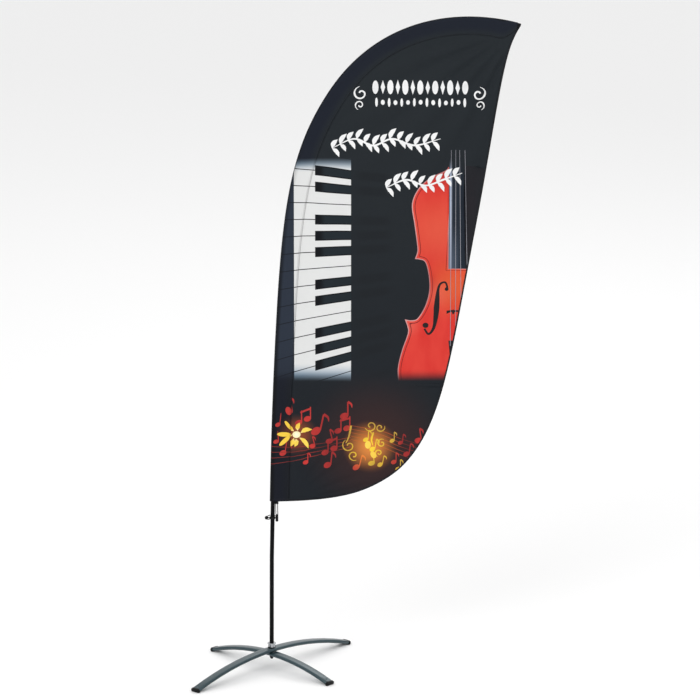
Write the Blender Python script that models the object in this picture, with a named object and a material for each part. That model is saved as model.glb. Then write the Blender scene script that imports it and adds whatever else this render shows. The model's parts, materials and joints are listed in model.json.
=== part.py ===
"""Teardrop flag on a turning stand: two arched legs crossed under a ball-bearing spindle, a bent
four-section pole, a printed flag with its pole sleeve, and the elastic cord that tensions it.

Metres, +Z up. The flag lies in the XZ plane and the pole leans towards +X. The floor is z = 0, and
the origin is under the middle of the whole object's box, so the spindle's axis lies at -X of it.
"""

import math

import bmesh
import bpy
import numpy as np
from mathutils import Matrix

GAP = 0.0003  # between pieces that touch
FIT = 0.0003  # radial clearance of a shaft, a rod or a plug in its bore
SIDES = 28  # of the bearing, the spindle and their like
SMALL_SIDES = 24  # of washers, the clip and the cord lock
THREAD_SIDES = 16
TUBE_SIDES = 12  # of the pole
KNOT_CLEAR = 0.003  # least distance of a curve's knot from the end of a tube
NOSE = 0.75  # width of a closed end's flat, as a share

# The whole object
POLE_CROWN = 2.439  # highest point of the pole's centre line
FLAG_REACH = 0.898  # pole tip from the spindle's axis
FLAG_FOOT = 0.6385  # lower edge of the flag

# Legs: flat-oval steel tube, arched, crossed at the hub
TUBE_WIDTH = 0.036
TUBE_HEIGHT = 0.0135
TUBE_WALL = 0.0015
UPPER_LEG_HALF = 0.391  # hub to the tube's end, level
LOWER_LEG_HALF = 0.290
UPPER_LEG_TURN = math.radians(46.2)  # direction of the leg's +X end, seen from above
LOWER_LEG_TURN = math.radians(-43.6)
LOWER_LEG_HUB = 0.056  # height of the tube's centre at the hub
LEG_GAP = 0.0015  # between the two tubes, for the leg washer
LEG_END_CLEAR = 0.00125  # under the tube's end
HUB_FLAT = 0.016  # half of the level stretch under the hub
LEG_STEPS = 7

# Foot caps
CAP_PLUG = 0.024
CAP_FLANGE = 0.009
CAP_LIP = 0.0012  # past the tube all round
CAP_SOLE = 0.0026  # past the tube below
PIP_HOLE = 0.0022  # radius of the tube's hole for the cap's snap pip
PIP_FROM_END = 0.014

# Hub fasteners
STUD_RADIUS = 0.004
STUD_CLEAR = 0.0004  # around the stud in the legs and washers
NUT_FLATS = 0.013
NUT_HEIGHT = 0.0068
NUT_DOME = 0.0058
NUT_STEP = 0.0004  # dome inside the nut's flats
THREAD_IN_DOME = 0.0013
NUT_WASHER = (0.0100, 0.0014)  # radius, thickness
LEG_WASHER_RADIUS = 0.012
BASE_WASHER = (0.0140, 0.0027)

# Bearing and spindle
HOUSING_WALL = 0.002
HOUSING_FLOOR = 0.0034
SHANK_CLEAR = 0.0007  # under the spindle's lower end
BEARING_OUTER = 0.0107
BEARING_BORE = 0.0053
BEARING_HEIGHT = 0.005
RACE_OUTER_WALL = 0.0018
RACE_INNER_WALL = 0.0016
BALL_SEAT = 0.00045  # how deep each race's groove takes a ball
BALLS = 7
RING_THICKNESS = 0.0008
RING_REACH = 0.0012  # how far the retaining ring stands out under the inner race
FLANGE_LIP = 0.0022  # past the housing
FLANGE_HEIGHT = 0.004
FLANGE_BREAK = 0.0004  # chamfer
SPIGOT_HEIGHT = 0.090
SPIGOT_CHAMFER = 0.0015

# Pole
POLE_RADIUS = 0.008
POLE_WALLS = (0.0016, 0.0016, 0.0014)  # the fourth section is a solid rod
SECTION_INSERT = 0.070  # how far a section goes into the one below
FERRULE_LENGTH = 0.040
FERRULE_WALL = 0.0009
TIP_CAP_WALL = 0.0012
TIP_CAP_LENGTH = 0.012

# Flag
FABRIC = 0.0006
SLEEVE_WIDTH = 0.060  # pole's centre to the sleeve's seam
SLEEVE_TIP_WIDTH = 0.022
SLEEVE_SLACK = 0.0008
SEAM_HALF = 0.0012
BINDING_WIDTH = 0.0055
BINDING_HALF = 0.0008
SEWN_GAP = 0.001  # between the sleeve's end and the binding
POCKET_LENGTH = 0.030
POCKET_WALL = 0.0012
TAB = (0.0130, 0.0026, 0.0110)  # width, thickness, height of the corner tab
TAB_FROM_POLE = 0.0068  # pole's surface to the tab's middle

# Tension cord and its hardware
HOOK_HEIGHT = 0.5745
CLIP_HALF = 0.0034
CLIP_WALL = 0.0022
CLIP_ARM = (0.0034, 0.0036)  # depth, height of the arm that carries the peg
PEG_FROM_POLE = 0.0135  # pole's surface to the peg's axis
PEG_RADIUS = 0.0030
PEG_HALF = 0.0022
PEG_FLANGE = (0.0060, 0.0014)
CORD_RADIUS = 0.0015
CORD_STEP = 0.0036  # between the cord's points
LOCK_FROM_POLE = 0.0085  # pole's surface to the lock's axis
LOCK_EDGE = 0.0008
LOCK_RADIUS = 0.0052
LOCK_BORE = 0.0037
LOCK_TOP = 0.0085  # from the cord's level
LOCK_BOTTOM = 0.0135
LOCK_FLOOR = 0.0015
LOCK_TRAVEL = 0.0025
BUTTON_TOP = 0.0130
BUTTON_BOTTOM = 0.0058
SLOT_SPARE = 0.0004  # around the cord in the lock's slots
SPRING_WIRE = 0.00035
SPRING_TURNS = 4

FINISHES = {  # colour, roughness, metallic
    "leg_paint": ((0.16, 0.20, 0.21), 0.38, 0.6),
    "black_plastic": ((0.012, 0.012, 0.013), 0.55, 0.0),
    "nylon": ((0.03, 0.03, 0.03), 0.6, 0.0),
    "chrome": ((0.80, 0.81, 0.82), 0.12, 1.0),
    "steel": ((0.55, 0.56, 0.57), 0.3, 1.0),
    "fibreglass": ((0.010, 0.010, 0.011), 0.35, 0.0),
    "printed_cloth": ((0.030, 0.036, 0.045), 0.85, 0.0),
    "sleeve_cloth": ((0.016, 0.022, 0.040), 0.85, 0.0),
    "webbing": ((0.012, 0.012, 0.014), 0.9, 0.0),
    "elastic": ((0.014, 0.014, 0.015), 0.9, 0.0),
}

# Curves as cubic stretches: end, handle, handle, end, ... in shares of FLAG_REACH and of a height
POLE_SHAPE = (
    (0.0, 0.0), (0.0, 0.143), (0.011, 0.366),
    (0.039, 0.545), (0.066, 0.723), (0.113, 0.799),
    (0.244, 0.880), (0.426, 0.992), (0.725, 1.018), (1.0, 0.989),
)
TRAILING_SHAPE = (
    (1.0070, 0.9912), (0.9243, 0.9289), (0.9307, 0.8681),
    (0.8130, 0.5418), (0.6750, 0.1597), (0.6660, 0.0064),
)


# ---------------------------------------------------------------- meshes and objects


def finish_of(name, finish):
    colour, roughness, metallic = FINISHES[finish]
    material = bpy.data.materials.new(name)
    material.use_nodes = True
    shader = material.node_tree.nodes["Principled BSDF"]
    shader.inputs["Base Color"].default_value = (*colour, 1.0)
    shader.inputs["Roughness"].default_value = roughness
    shader.inputs["Metallic"].default_value = metallic
    return material


def add_object(name, bm, finish, parent, smooth=True):
    """The bmesh as an object with its own material, under parent."""
    bmesh.ops.recalc_face_normals(bm, faces=bm.faces)
    mesh = bpy.data.meshes.new(name)
    bm.to_mesh(mesh)
    bm.free()
    if smooth:
        mesh.shade_smooth()
        mesh.set_sharp_from_angle(angle=math.radians(35))
    mesh.materials.append(finish_of(name, finish))
    made = bpy.data.objects.new(name, mesh)
    made.parent = parent
    bpy.context.scene.collection.objects.link(made)
    return made


def add_empty(name, parent=None, place=(0, 0, 0), turn=0.0):
    made = bpy.data.objects.new(name, None)
    made.parent = parent
    made.location = place
    made.rotation_euler = (0, 0, turn)
    bpy.context.scene.collection.objects.link(made)
    return made


def boolean(target, bm, operation):
    """Cuts or joins a bmesh, in target's own coordinates, by a Boolean on target."""
    bmesh.ops.recalc_face_normals(bm, faces=bm.faces)
    name = f"{target.name}_{operation.lower()}_{len(target.modifiers)}"
    mesh = bpy.data.meshes.new(name)
    bm.to_mesh(mesh)
    bm.free()
    tool = bpy.data.objects.new(name, mesh)
    tool.parent = target
    tool.hide_render = True
    tool.display_type = "WIRE"
    bpy.context.scene.collection.objects.link(tool)
    modifier = target.modifiers.new(name, "BOOLEAN")
    modifier.operation = operation
    modifier.object = tool


def rotate(bm, angle, axis):
    bmesh.ops.rotate(bm, verts=bm.verts, cent=(0, 0, 0), matrix=Matrix.Rotation(angle, 3, axis))


def turned(profile, sides, closed=False, axis="Z"):
    """A profile of (radius, height) spun about an axis; closed for a ring's section."""
    bm = bmesh.new()
    verts = [bm.verts.new((r, 0, z)) for r, z in profile]
    pairs = list(zip(verts, verts[1:]))
    if closed:
        pairs.append((verts[-1], verts[0]))
    edges = [bm.edges.new(pair) for pair in pairs]
    bmesh.ops.spin(
        bm, geom=verts + edges, axis=(0, 0, 1), cent=(0, 0, 0),
        angle=2 * math.pi, steps=sides, use_merge=True,
    )
    bmesh.ops.remove_doubles(bm, verts=bm.verts, dist=0.00001)
    if axis == "Y":
        rotate(bm, math.pi / 2, "X")
    return bm


def ring(inner, outer, low, high, sides):
    """A plain ring, such as a washer."""
    return turned([(inner, low), (outer, low), (outer, high), (inner, high)], sides, closed=True)


def rod(radius, low, high, sides, axis="Z"):
    return turned([(0, low), (radius, low), (radius, high), (0, high)], sides, axis=axis)


def join_rings(bm, first, second):
    count = len(first)
    for i in range(count):
        j = (i + 1) % count
        bm.faces.new((first[i], first[j], second[j], second[i]))


def loft(loops, ends="caps"):
    """Skins loops of points in turn, then caps both ends, or joins the last loop to the first."""
    bm = bmesh.new()
    rows = [[bm.verts.new(p) for p in loop] for loop in loops]
    for first, second in zip(rows, rows[1:]):
        join_rings(bm, first, second)
    if ends == "caps":
        bm.faces.new(rows[0])
        bm.faces.new(rows[-1])
    else:
        join_rings(bm, rows[-1], rows[0])
    return bm


def plate(outline, half):
    """A flat outline of (x, z) points, half thick to each side of the XZ plane."""
    bm = bmesh.new()
    face = bm.faces.new([bm.verts.new((x, -half, z)) for x, z in outline])
    grown = bmesh.ops.extrude_face_region(bm, geom=[face])["geom"]
    moved = [v for v in grown if isinstance(v, bmesh.types.BMVert)]
    bmesh.ops.translate(bm, verts=moved, vec=(0, 2 * half, 0))
    return bm


def box(width, depth, height, centre):
    bm = bmesh.new()
    bmesh.ops.create_cube(bm, size=1.0)
    bmesh.ops.scale(bm, verts=bm.verts, vec=(width, depth, height))
    bmesh.ops.translate(bm, verts=bm.verts, vec=centre)
    return bm


def flat_oval(width, height, arc_steps=7, drop=0.0):
    """Points of a flat oval about (0, 0); drop moves its lower half down."""
    radius = height / 2
    flat = width / 2 - radius
    points = []
    for side, start in ((1, math.pi / 2), (-1, math.pi * 1.5)):
        for i in range(arc_steps + 1):
            angle = start - math.pi * i / arc_steps
            y = side * flat + radius * math.cos(angle)
            z = radius * math.sin(angle)
            points.append((y, z - drop if z < 0 else z))
    return points


# ---------------------------------------------------------------- curves in the flag's plane


def cubic_chain(points, steps=60):
    """Samples of cubic stretches that share their ends."""
    points = np.array(points, float)
    t = np.linspace(0, 1, steps)[:, None]
    samples = [points[:1]]
    for i in range(0, len(points) - 1, 3):
        a, b, c, d = points[i : i + 4]
        part = (1 - t) ** 3 * a + 3 * (1 - t) ** 2 * t * b + 3 * (1 - t) * t**2 * c + t**3 * d
        samples.append(part[1:])
    return np.vstack(samples)


def lengths_along(points):
    return np.concatenate([[0], np.cumsum(np.linalg.norm(np.diff(points, axis=0), axis=1))])


def thinned(points, turn, stretch):
    """The samples that a curve needs: a new one after each turn (radians) or stretch (metres)."""
    steps = np.diff(points, axis=0)
    headings = np.unwrap(np.arctan2(steps[:, 1], steps[:, 0]))
    worth = np.concatenate([[0], np.abs(np.diff(headings)), [0]]) / turn
    worth = np.cumsum(worth) + lengths_along(points) / stretch
    wanted = np.linspace(0, worth[-1], int(round(worth[-1])) + 1)
    return points[np.searchsorted(worth, wanted - 1e-9)]


class Path:
    """A chain of straight stretches, which every piece on the pole follows."""

    def __init__(self, knots):
        self.knots = knots
        self.at = lengths_along(knots)
        self.length = self.at[-1]
        steps = np.diff(knots, axis=0)
        self.headings = steps / np.linalg.norm(steps, axis=1)[:, None]

    def point(self, s):
        return np.array([np.interp(s, self.at, self.knots[:, k]) for k in (0, 1)])

    def inward(self, s):
        """Unit vector across the path, towards the flag; at a knot it halves the turn."""
        near = np.abs(self.at - s)
        k = int(near.argmin())
        if near[k] < 1e-7 and 0 < k < len(self.knots) - 1:
            heading = self.headings[k - 1] + self.headings[k]
            heading = heading / np.linalg.norm(heading)
        else:
            i = min(max(int(np.searchsorted(self.at, s)) - 1, 0), len(self.headings) - 1)
            heading = self.headings[i]
        return np.array([heading[1], -heading[0]])

    def stations(self, start, end):
        """The path's knots between two lengths, with both ends."""
        inside = [s for s in self.at if start + KNOT_CLEAR < s < end - KNOT_CLEAR]
        return [start, *inside, end]

    def at_height(self, z):
        """Length at which the lower, rising part of the path reaches a height."""
        rising = self.knots[: int(self.knots[:, 1].argmax()) + 1]
        return float(np.interp(z, rising[:, 1], self.at[: len(rising)]))


def round_loop(path, s, radius, sides):
    centre, inward = path.point(s), path.inward(s)
    loop = []
    for i in range(sides):
        angle = 2 * math.pi * (i + 0.5) / sides
        x, z = centre + inward * radius * math.cos(angle)
        loop.append((x, radius * math.sin(angle), z))
    return loop


def pole_tube(path, start, end, outer, inner, sides=TUBE_SIDES):
    """A tube along the path, or a rod where inner is 0."""
    stations = path.stations(start, end)
    outside = [round_loop(path, s, outer, sides) for s in stations]
    if inner == 0:
        return loft(outside)
    inside = [round_loop(path, s, inner, sides) for s in reversed(stations)]
    return loft(outside + inside, ends="joined")


def sleeve_loop(path, s, radius, width, seam):
    """Section of the sleeve: round at the pole, its two layers closing on the seam."""
    centre, inward = path.point(s), path.inward(s)
    round_side = np.radians(np.linspace(90, 270, 7))
    across = [(radius * math.cos(a), radius * math.sin(a)) for a in round_side]
    across += [(width, -seam), (width, seam)]
    loop = []
    for d, y in across:
        x, z = centre + inward * d
        loop.append((x, y, z))
    return loop


def crossing(origin, heading, line):
    """How far along heading from origin the first crossing with a chain of points lies."""
    nearest = math.inf
    for a, b in zip(line, line[1:]):
        side = b - a
        determinant = heading[1] * side[0] - heading[0] * side[1]
        if abs(determinant) < 1e-12:
            continue
        to = a - origin
        along = (to[1] * side[0] - to[0] * side[1]) / determinant
        share = (heading[0] * to[1] - heading[1] * to[0]) / determinant
        if along > 0 and 0 <= share <= 1:
            nearest = min(nearest, along)
    return nearest


def moved_in(line, by):
    """A chain of points moved across itself, to the right of its direction, with mitred corners."""
    steps = np.diff(line, axis=0)
    steps /= np.linalg.norm(steps, axis=1)[:, None]
    heading = np.vstack([steps[:1], steps[:-1] + steps[1:], steps[-1:]])
    heading /= np.linalg.norm(heading, axis=1)[:, None]
    mitre = (heading * np.vstack([steps, steps[-1:]])).sum(axis=1)[:, None]
    return line + by / mitre * np.column_stack([heading[:, 1], -heading[:, 0]])


# ---------------------------------------------------------------- heights up the hub, and radii

leg_end = TUBE_HEIGHT / 2 + LEG_END_CLEAR
upper_leg_hub = LOWER_LEG_HUB + TUBE_HEIGHT + LEG_GAP
lower_leg_bottom = LOWER_LEG_HUB - TUBE_HEIGHT / 2
lower_leg_top = LOWER_LEG_HUB + TUBE_HEIGHT / 2
upper_leg_bottom = upper_leg_hub - TUBE_HEIGHT / 2
upper_leg_top = upper_leg_hub + TUBE_HEIGHT / 2
base_washer_low = upper_leg_top + GAP
housing_low = base_washer_low + BASE_WASHER[1] + GAP
housing_floor = housing_low + HOUSING_FLOOR
shank_low = housing_floor + SHANK_CLEAR
ring_low = shank_low + 2 * GAP
ring_high = ring_low + RING_THICKNESS
race_low = ring_high + GAP
race_high = race_low + BEARING_HEIGHT
race_middle = (race_low + race_high) / 2
housing_high = race_high + 2 * GAP
flange_low = housing_high + GAP
flange_high = flange_low + FLANGE_HEIGHT
pole_low = flange_high + GAP
spigot_high = flange_high + SPIGOT_HEIGHT

section_radii = [POLE_RADIUS]
for wall in POLE_WALLS:
    section_radii.append(section_radii[-1] - wall - FIT)
tip_cap_radius = section_radii[-1] + FIT + TIP_CAP_WALL
stud_hole = STUD_RADIUS + STUD_CLEAR
housing_bore = BEARING_OUTER + FIT
housing_radius = housing_bore + HOUSING_WALL
flange_radius = housing_radius + FLANGE_LIP
race_inner_face = BEARING_BORE + RACE_INNER_WALL
race_outer_face = BEARING_OUTER - RACE_OUTER_WALL
ball_orbit = (race_inner_face + race_outer_face) / 2
ball_radius = (race_outer_face - race_inner_face) / 2 + BALL_SEAT
shank_radius = BEARING_BORE - FIT
tab_out = POLE_RADIUS + TAB_FROM_POLE
peg_out = POLE_RADIUS + PEG_FROM_POLE
lock_out = POLE_RADIUS + LOCK_FROM_POLE
strand_off = CORD_RADIUS + GAP  # each strand in the lock, from the cord's level


def build_path():
    """From the spindle's flange straight up past the spigot, then over to the tip."""
    straight_top = spigot_high + FIT
    rise = POLE_CROWN - straight_top
    curve = [(u * FLAG_REACH, straight_top + v * rise) for u, v in POLE_SHAPE]
    bent = thinned(cubic_chain(curve), math.radians(5), 0.25)
    return Path(np.vstack([[(0.0, pole_low)], bent]))


# ---------------------------------------------------------------- the stand


def leg_line(hub, half):
    """(distance, height, slope) down one arm of a leg's centre line: level under the hub, then an arc."""
    rise = hub - leg_end
    radius = (half**2 + rise**2) / (2 * rise)
    distances = np.linspace(HUB_FLAT, half, LEG_STEPS + 1)
    heights = hub - radius + np.sqrt(radius**2 - distances**2)
    heights[0] = hub
    chords = np.arctan2(-np.diff(heights), np.diff(distances))
    slopes = np.concatenate([[0.0], (chords[:-1] + chords[1:]) / 2, chords[-1:]])
    slopes[0] = chords[0] / 2
    return list(zip(distances, heights, slopes))


def leg_loop(points, d, z, slope):
    """A section's (across, up) points set square to the leg's centre line."""
    return [(d + up * math.sin(slope), across, z + up * math.cos(slope)) for across, up in points]


def make_leg(name, hub, half, parent):
    arm = leg_line(hub, half)
    stations = [(-d, z, -slope) for d, z, slope in reversed(arm)] + arm
    outer = flat_oval(TUBE_WIDTH, TUBE_HEIGHT)
    inner = flat_oval(TUBE_WIDTH - 2 * TUBE_WALL, TUBE_HEIGHT - 2 * TUBE_WALL)
    outside = [leg_loop(outer, *station) for station in stations]
    inside = [leg_loop(inner, *station) for station in stations]
    leg = add_object(name, loft(outside + inside[::-1], ends="joined"), "leg_paint", parent)
    boolean(leg, rod(stud_hole, hub - TUBE_HEIGHT, hub + TUBE_HEIGHT, SMALL_SIDES), "DIFFERENCE")
    return leg


def pip(hub, half, side, radius, high):
    """A short rod square to a leg's end, from its centre line up: the cap's snap pip or its hole."""
    _, z_end, slope = leg_line(hub, half)[-1]
    bm = rod(radius, 0, high, 12)
    rotate(bm, slope, "Y")
    x = half - PIP_FROM_END * math.cos(slope)
    z = z_end + PIP_FROM_END * math.sin(slope)
    bmesh.ops.translate(bm, verts=bm.verts, vec=(x, 0, z))
    if side < 0:
        rotate(bm, math.pi, "Z")
    return bm


def make_cap(name, hub, half, side, parent):
    """Plug, flange and flat sole of one foot cap, on the leg's +X end or its -X end."""
    _, z_end, slope = leg_line(hub, half)[-1]
    plug = flat_oval(TUBE_WIDTH - 2 * TUBE_WALL - 2 * FIT, TUBE_HEIGHT - 2 * TUBE_WALL - 2 * FIT)
    flange = flat_oval(TUBE_WIDTH + 2 * CAP_LIP, TUBE_HEIGHT + 2 * CAP_LIP, drop=CAP_SOLE - CAP_LIP)
    edge = flat_oval(TUBE_WIDTH, TUBE_HEIGHT, drop=CAP_SOLE - CAP_LIP)

    def placed(points, along):
        return leg_loop(points, half + along * math.cos(slope), z_end - along * math.sin(slope), slope)

    loops = [
        placed(plug, -CAP_PLUG),
        placed(plug, GAP),
        placed(flange, GAP),
        placed(flange, CAP_FLANGE - CAP_LIP),
        placed(edge, CAP_FLANGE),
    ]
    bm = loft(loops)
    whole = bm.verts[:] + bm.edges[:] + bm.faces[:]
    cut = bmesh.ops.bisect_plane(bm, geom=whole, plane_co=(0, 0, 0), plane_no=(0, 0, 1), clear_inner=True)
    rim = [e for e in cut["geom_cut"] if isinstance(e, bmesh.types.BMEdge)]
    bmesh.ops.contextual_create(bm, geom=rim)
    if side < 0:
        rotate(bm, math.pi, "Z")
    cap = add_object(name, bm, "black_plastic", parent, smooth=False)
    boolean(cap, pip(hub, half, side, PIP_HOLE - FIT, TUBE_HEIGHT / 2), "UNION")


def make_stand(stand, swing_leg):
    lower_line = add_empty("lower_leg_line", stand, turn=LOWER_LEG_TURN)
    upper_line = add_empty("upper_leg_line", swing_leg, turn=UPPER_LEG_TURN)
    legs = (
        ("lower_leg", LOWER_LEG_HUB, LOWER_LEG_HALF, lower_line, "front_right", "back_left"),
        ("upper_leg", upper_leg_hub, UPPER_LEG_HALF, upper_line, "back_right", "front_left"),
    )
    for name, hub, half, line, plus_end, minus_end in legs:
        leg = make_leg(name, hub, half, line)
        for side, end in ((1, plus_end), (-1, minus_end)):
            boolean(leg, pip(hub, half, side, PIP_HOLE, TUBE_HEIGHT), "DIFFERENCE")
            make_cap(f"foot_cap_{end}", hub, half, side, line)

    add_object(
        "leg_washer",
        ring(stud_hole, LEG_WASHER_RADIUS, lower_leg_top + GAP, upper_leg_bottom - GAP, SMALL_SIDES),
        "nylon", stand,
    )
    radius, thickness = BASE_WASHER
    add_object(
        "base_washer",
        ring(stud_hole, radius, base_washer_low, base_washer_low + thickness, SIDES),
        "black_plastic", stand,
    )
    radius, thickness = NUT_WASHER
    nut_washer_low = lower_leg_bottom - GAP - thickness
    add_object(
        "nut_washer",
        ring(stud_hole, radius, nut_washer_low, nut_washer_low + thickness, SMALL_SIDES),
        "steel", stand,
    )
    make_nut_and_stud(nut_washer_low - GAP, stand)


def make_nut_and_stud(nut_high, stand):
    """An acorn nut with a blind thread, and the stud from it up into the housing's floor."""
    across_corners = NUT_FLATS / math.cos(math.pi / 6) / 2
    hex_low = nut_high - NUT_HEIGHT
    thread = STUD_RADIUS + FIT
    thread_end = hex_low - THREAD_IN_DOME
    made = add_object("cap_nut", rod(across_corners, hex_low, nut_high, 6), "steel", stand)
    dome_radius = NUT_FLATS / 2 - NUT_STEP
    arc = np.radians(np.linspace(0, 90, 6))[:-1]
    dome = [(dome_radius * math.cos(a), hex_low - NUT_DOME * math.sin(a)) for a in arc]
    dome = [(0, hex_low + NUT_STEP), (dome_radius, hex_low + NUT_STEP), *dome, (0, hex_low - NUT_DOME)]
    boolean(made, turned(dome, 18), "UNION")
    boolean(made, rod(thread, thread_end, nut_high + NUT_STEP, THREAD_SIDES), "DIFFERENCE")
    stud = rod(STUD_RADIUS, thread_end + GAP, housing_floor - GAP, THREAD_SIDES)
    add_object("hub_stud", stud, "steel", stand)


def race_profile(back, face):
    """Section of a bearing race: its wall from back to face, and the round groove in its face."""
    side = 1 if face > ball_orbit else -1
    groove = ball_radius + FIT
    reach = math.acos(abs(face - ball_orbit) / groove)
    bend = [
        (ball_orbit + side * groove * math.cos(a), race_middle + groove * math.sin(a))
        for a in np.linspace(-reach, reach, 5)
    ]
    return [(back, race_high), (back, race_low), (face, race_low), *bend, (face, race_high)]


def make_bearing(stand, balls, rotor):
    profile = [
        (STUD_RADIUS + FIT, housing_low),
        (housing_radius, housing_low),
        (housing_radius, housing_high),
        (housing_bore, housing_high),
        (housing_bore, race_low - GAP),
        (race_outer_face + FIT, race_low - GAP),
        (race_outer_face + FIT, housing_floor),
        (STUD_RADIUS + FIT, housing_floor),
    ]
    add_object("bearing_housing", turned(profile, SIDES, closed=True), "chrome", stand)
    outer = race_profile(BEARING_OUTER, race_outer_face)
    add_object("bearing_outer_race", turned(outer, SIDES, closed=True), "steel", stand)
    inner = race_profile(BEARING_BORE, race_inner_face)
    add_object("bearing_inner_race", turned(inner, SIDES, closed=True), "steel", rotor)
    for i in range(BALLS):
        angle = 2 * math.pi * i / BALLS
        bm = bmesh.new()
        bmesh.ops.create_icosphere(bm, subdivisions=1, radius=ball_radius)
        ball = add_object(f"bearing_ball_{i + 1}", bm, "steel", balls)
        ball.location = (ball_orbit * math.cos(angle), ball_orbit * math.sin(angle), race_middle)


def make_spindle(rotor):
    """Turned spindle: grooved shank in the bearing, flange over the housing, spigot in the pole."""
    groove = shank_radius - RING_THICKNESS
    shoulder = race_inner_face - FIT
    spigot = (POLE_RADIUS - POLE_WALLS[0]) * math.cos(math.pi / TUBE_SIDES) - FIT
    profile = [
        (0, shank_low),
        (shank_radius, shank_low),
        (shank_radius, ring_low - GAP),
        (groove, ring_low - GAP),
        (groove, ring_high + GAP),
        (shank_radius, ring_high + GAP),
        (shank_radius, race_high + GAP),
        (shoulder, race_high + GAP),
        (shoulder, flange_low),
        (flange_radius - FLANGE_BREAK, flange_low),
        (flange_radius, flange_low + FLANGE_BREAK),
        (flange_radius, flange_high - FLANGE_BREAK),
        (flange_radius - FLANGE_BREAK, flange_high),
        (spigot, flange_high),
        (spigot, spigot_high - SPIGOT_CHAMFER),
        (spigot - SPIGOT_CHAMFER, spigot_high),
        (0, spigot_high),
    ]
    add_object("spindle", turned(profile, SIDES), "chrome", rotor)
    clip_ring = ring(groove + FIT, BEARING_BORE + RING_REACH, ring_low, ring_high, SMALL_SIDES)
    add_object("retaining_ring", clip_ring, "steel", rotor)


# ---------------------------------------------------------------- the pole


def blind_tube(path, start, end, outer, inner, wall):
    """A tube along the path whose far end is closed and slightly rounded."""
    nose = round_loop(path, end, outer * NOSE, TUBE_SIDES)
    outside = [round_loop(path, s, outer, TUBE_SIDES) for s in path.stations(start, end - wall / 2)]
    inside = [round_loop(path, s, inner, TUBE_SIDES) for s in path.stations(start, end - wall)]
    return loft([nose, *outside[::-1], *inside])


def pole_tip(path):
    """Length along the path where the top section ends, inside its cap and the flag's pocket."""
    return path.length - POCKET_WALL - TIP_CAP_WALL - 2 * GAP


def section_length(path):
    return (pole_tip(path) + 3 * SECTION_INSERT) / 4


def make_pole(path, pole):
    """Four sections, each with its lower end inside the one below, and their ferrules."""
    names = ("pole_base_section", "pole_second_section", "pole_third_section", "pole_tip_section")
    tip = pole_tip(path)
    length = section_length(path)
    start = 0.0
    for i, name in enumerate(names):
        outer = section_radii[i]
        inner = outer - POLE_WALLS[i] if i < 3 else 0
        end = min(start + length, tip)
        add_object(name, pole_tube(path, start, end, outer, inner), "fibreglass", pole)
        if i < 3:
            ferrule = pole_tube(
                path, end - FERRULE_LENGTH, end, outer + FIT + FERRULE_WALL, outer + FIT
            )
            add_object(f"pole_ferrule_{i + 1}", ferrule, "steel", pole)
        start = end - SECTION_INSERT
    cap_end = tip + GAP + TIP_CAP_WALL
    cap = blind_tube(
        path, cap_end - TIP_CAP_LENGTH, cap_end, tip_cap_radius, section_radii[-1] + FIT, TIP_CAP_WALL
    )
    add_object("pole_tip_cap", cap, "black_plastic", pole)


# ---------------------------------------------------------------- the flag


def sleeve_radius(path, s):
    """Bore of the sleeve: clear of the first ferrule, then narrowing until it clears the tip pocket."""
    foot = POLE_RADIUS + FIT + FERRULE_WALL + SLEEVE_SLACK
    tip = tip_cap_radius + FIT + POCKET_WALL + 2 * FIT
    return float(np.interp(s, [section_length(path), path.length], [foot, tip]))


def make_flag(path, pole):
    foot = path.at_height(FLAG_FOOT)
    seam_foot = path.point(foot) + path.inward(foot) * (SLEEVE_WIDTH + SEWN_GAP)
    rise = POLE_CROWN - FLAG_FOOT
    trailing = [(u * FLAG_REACH, FLAG_FOOT + v * rise) for u, v in TRAILING_SHAPE]
    trailing = thinned(cubic_chain([*trailing, tuple(seam_foot)]), math.radians(5), 0.12)
    sewn_edge = moved_in(trailing, BINDING_WIDTH + SEWN_GAP)

    def depth(s):
        return crossing(path.point(s), path.inward(s), sewn_edge)

    sleeve_end = last_length(path, lambda s: depth(s) > SLEEVE_TIP_WIDTH)
    seam_end = last_length(path, lambda s: depth(s) > SLEEVE_WIDTH)
    make_sleeve(path, foot, sleeve_end, seam_end, depth, pole)
    make_panel(path, foot, seam_end, trailing, pole)
    make_binding(path, trailing, pole)

    pocket_bore = tip_cap_radius + FIT
    pocket = blind_tube(
        path, path.length - POCKET_LENGTH, path.length,
        pocket_bore + POCKET_WALL, pocket_bore, POCKET_WALL,
    )
    add_object("tip_pocket", pocket, "webbing", pole)
    return foot


def last_length(path, holds):
    """The last length along the path at which a condition holds, found by halving."""
    low, high = path.length * 0.8, path.length
    for _ in range(30):
        middle = (low + high) / 2
        low, high = (middle, high) if holds(middle) else (low, middle)
    return low


def make_sleeve(path, foot, sleeve_end, seam_end, depth, pole):
    """Hollow sleeve from the flag's foot to the tip; near the tip its seam follows the edge."""
    near_tip = [seam_end + (sleeve_end - seam_end) * share for share in (0.2, 0.4, 0.6, 0.8, 1)]
    stations = path.stations(foot, seam_end) + near_tip
    outside, inside = [], []
    for s in stations:
        radius = sleeve_radius(path, s)
        width = min(SLEEVE_WIDTH, depth(s))
        outside.append(sleeve_loop(path, s, radius + FABRIC, width, SEAM_HALF))
        inside.append(sleeve_loop(path, s, radius, width - 2 * FABRIC, SEAM_HALF - FABRIC))
    add_object("pole_sleeve", loft(outside + inside[::-1], ends="joined"), "sleeve_cloth", pole)


def make_panel(path, foot, seam_end, trailing, pole):
    """The printed panel: the sleeve's seam on one side, the binding on the other."""
    edge = moved_in(trailing, BINDING_WIDTH + GAP)
    stations = path.stations(foot + BINDING_WIDTH + GAP, seam_end)
    seam = [path.point(s) + path.inward(s) * (SLEEVE_WIDTH + GAP) for s in stations]
    below = [p for p in edge if p[1] < seam[-1][1] - GAP][:-1]
    add_object("flag_panel", plate(seam + below, FABRIC / 2), "printed_cloth", pole, smooth=False)


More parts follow.
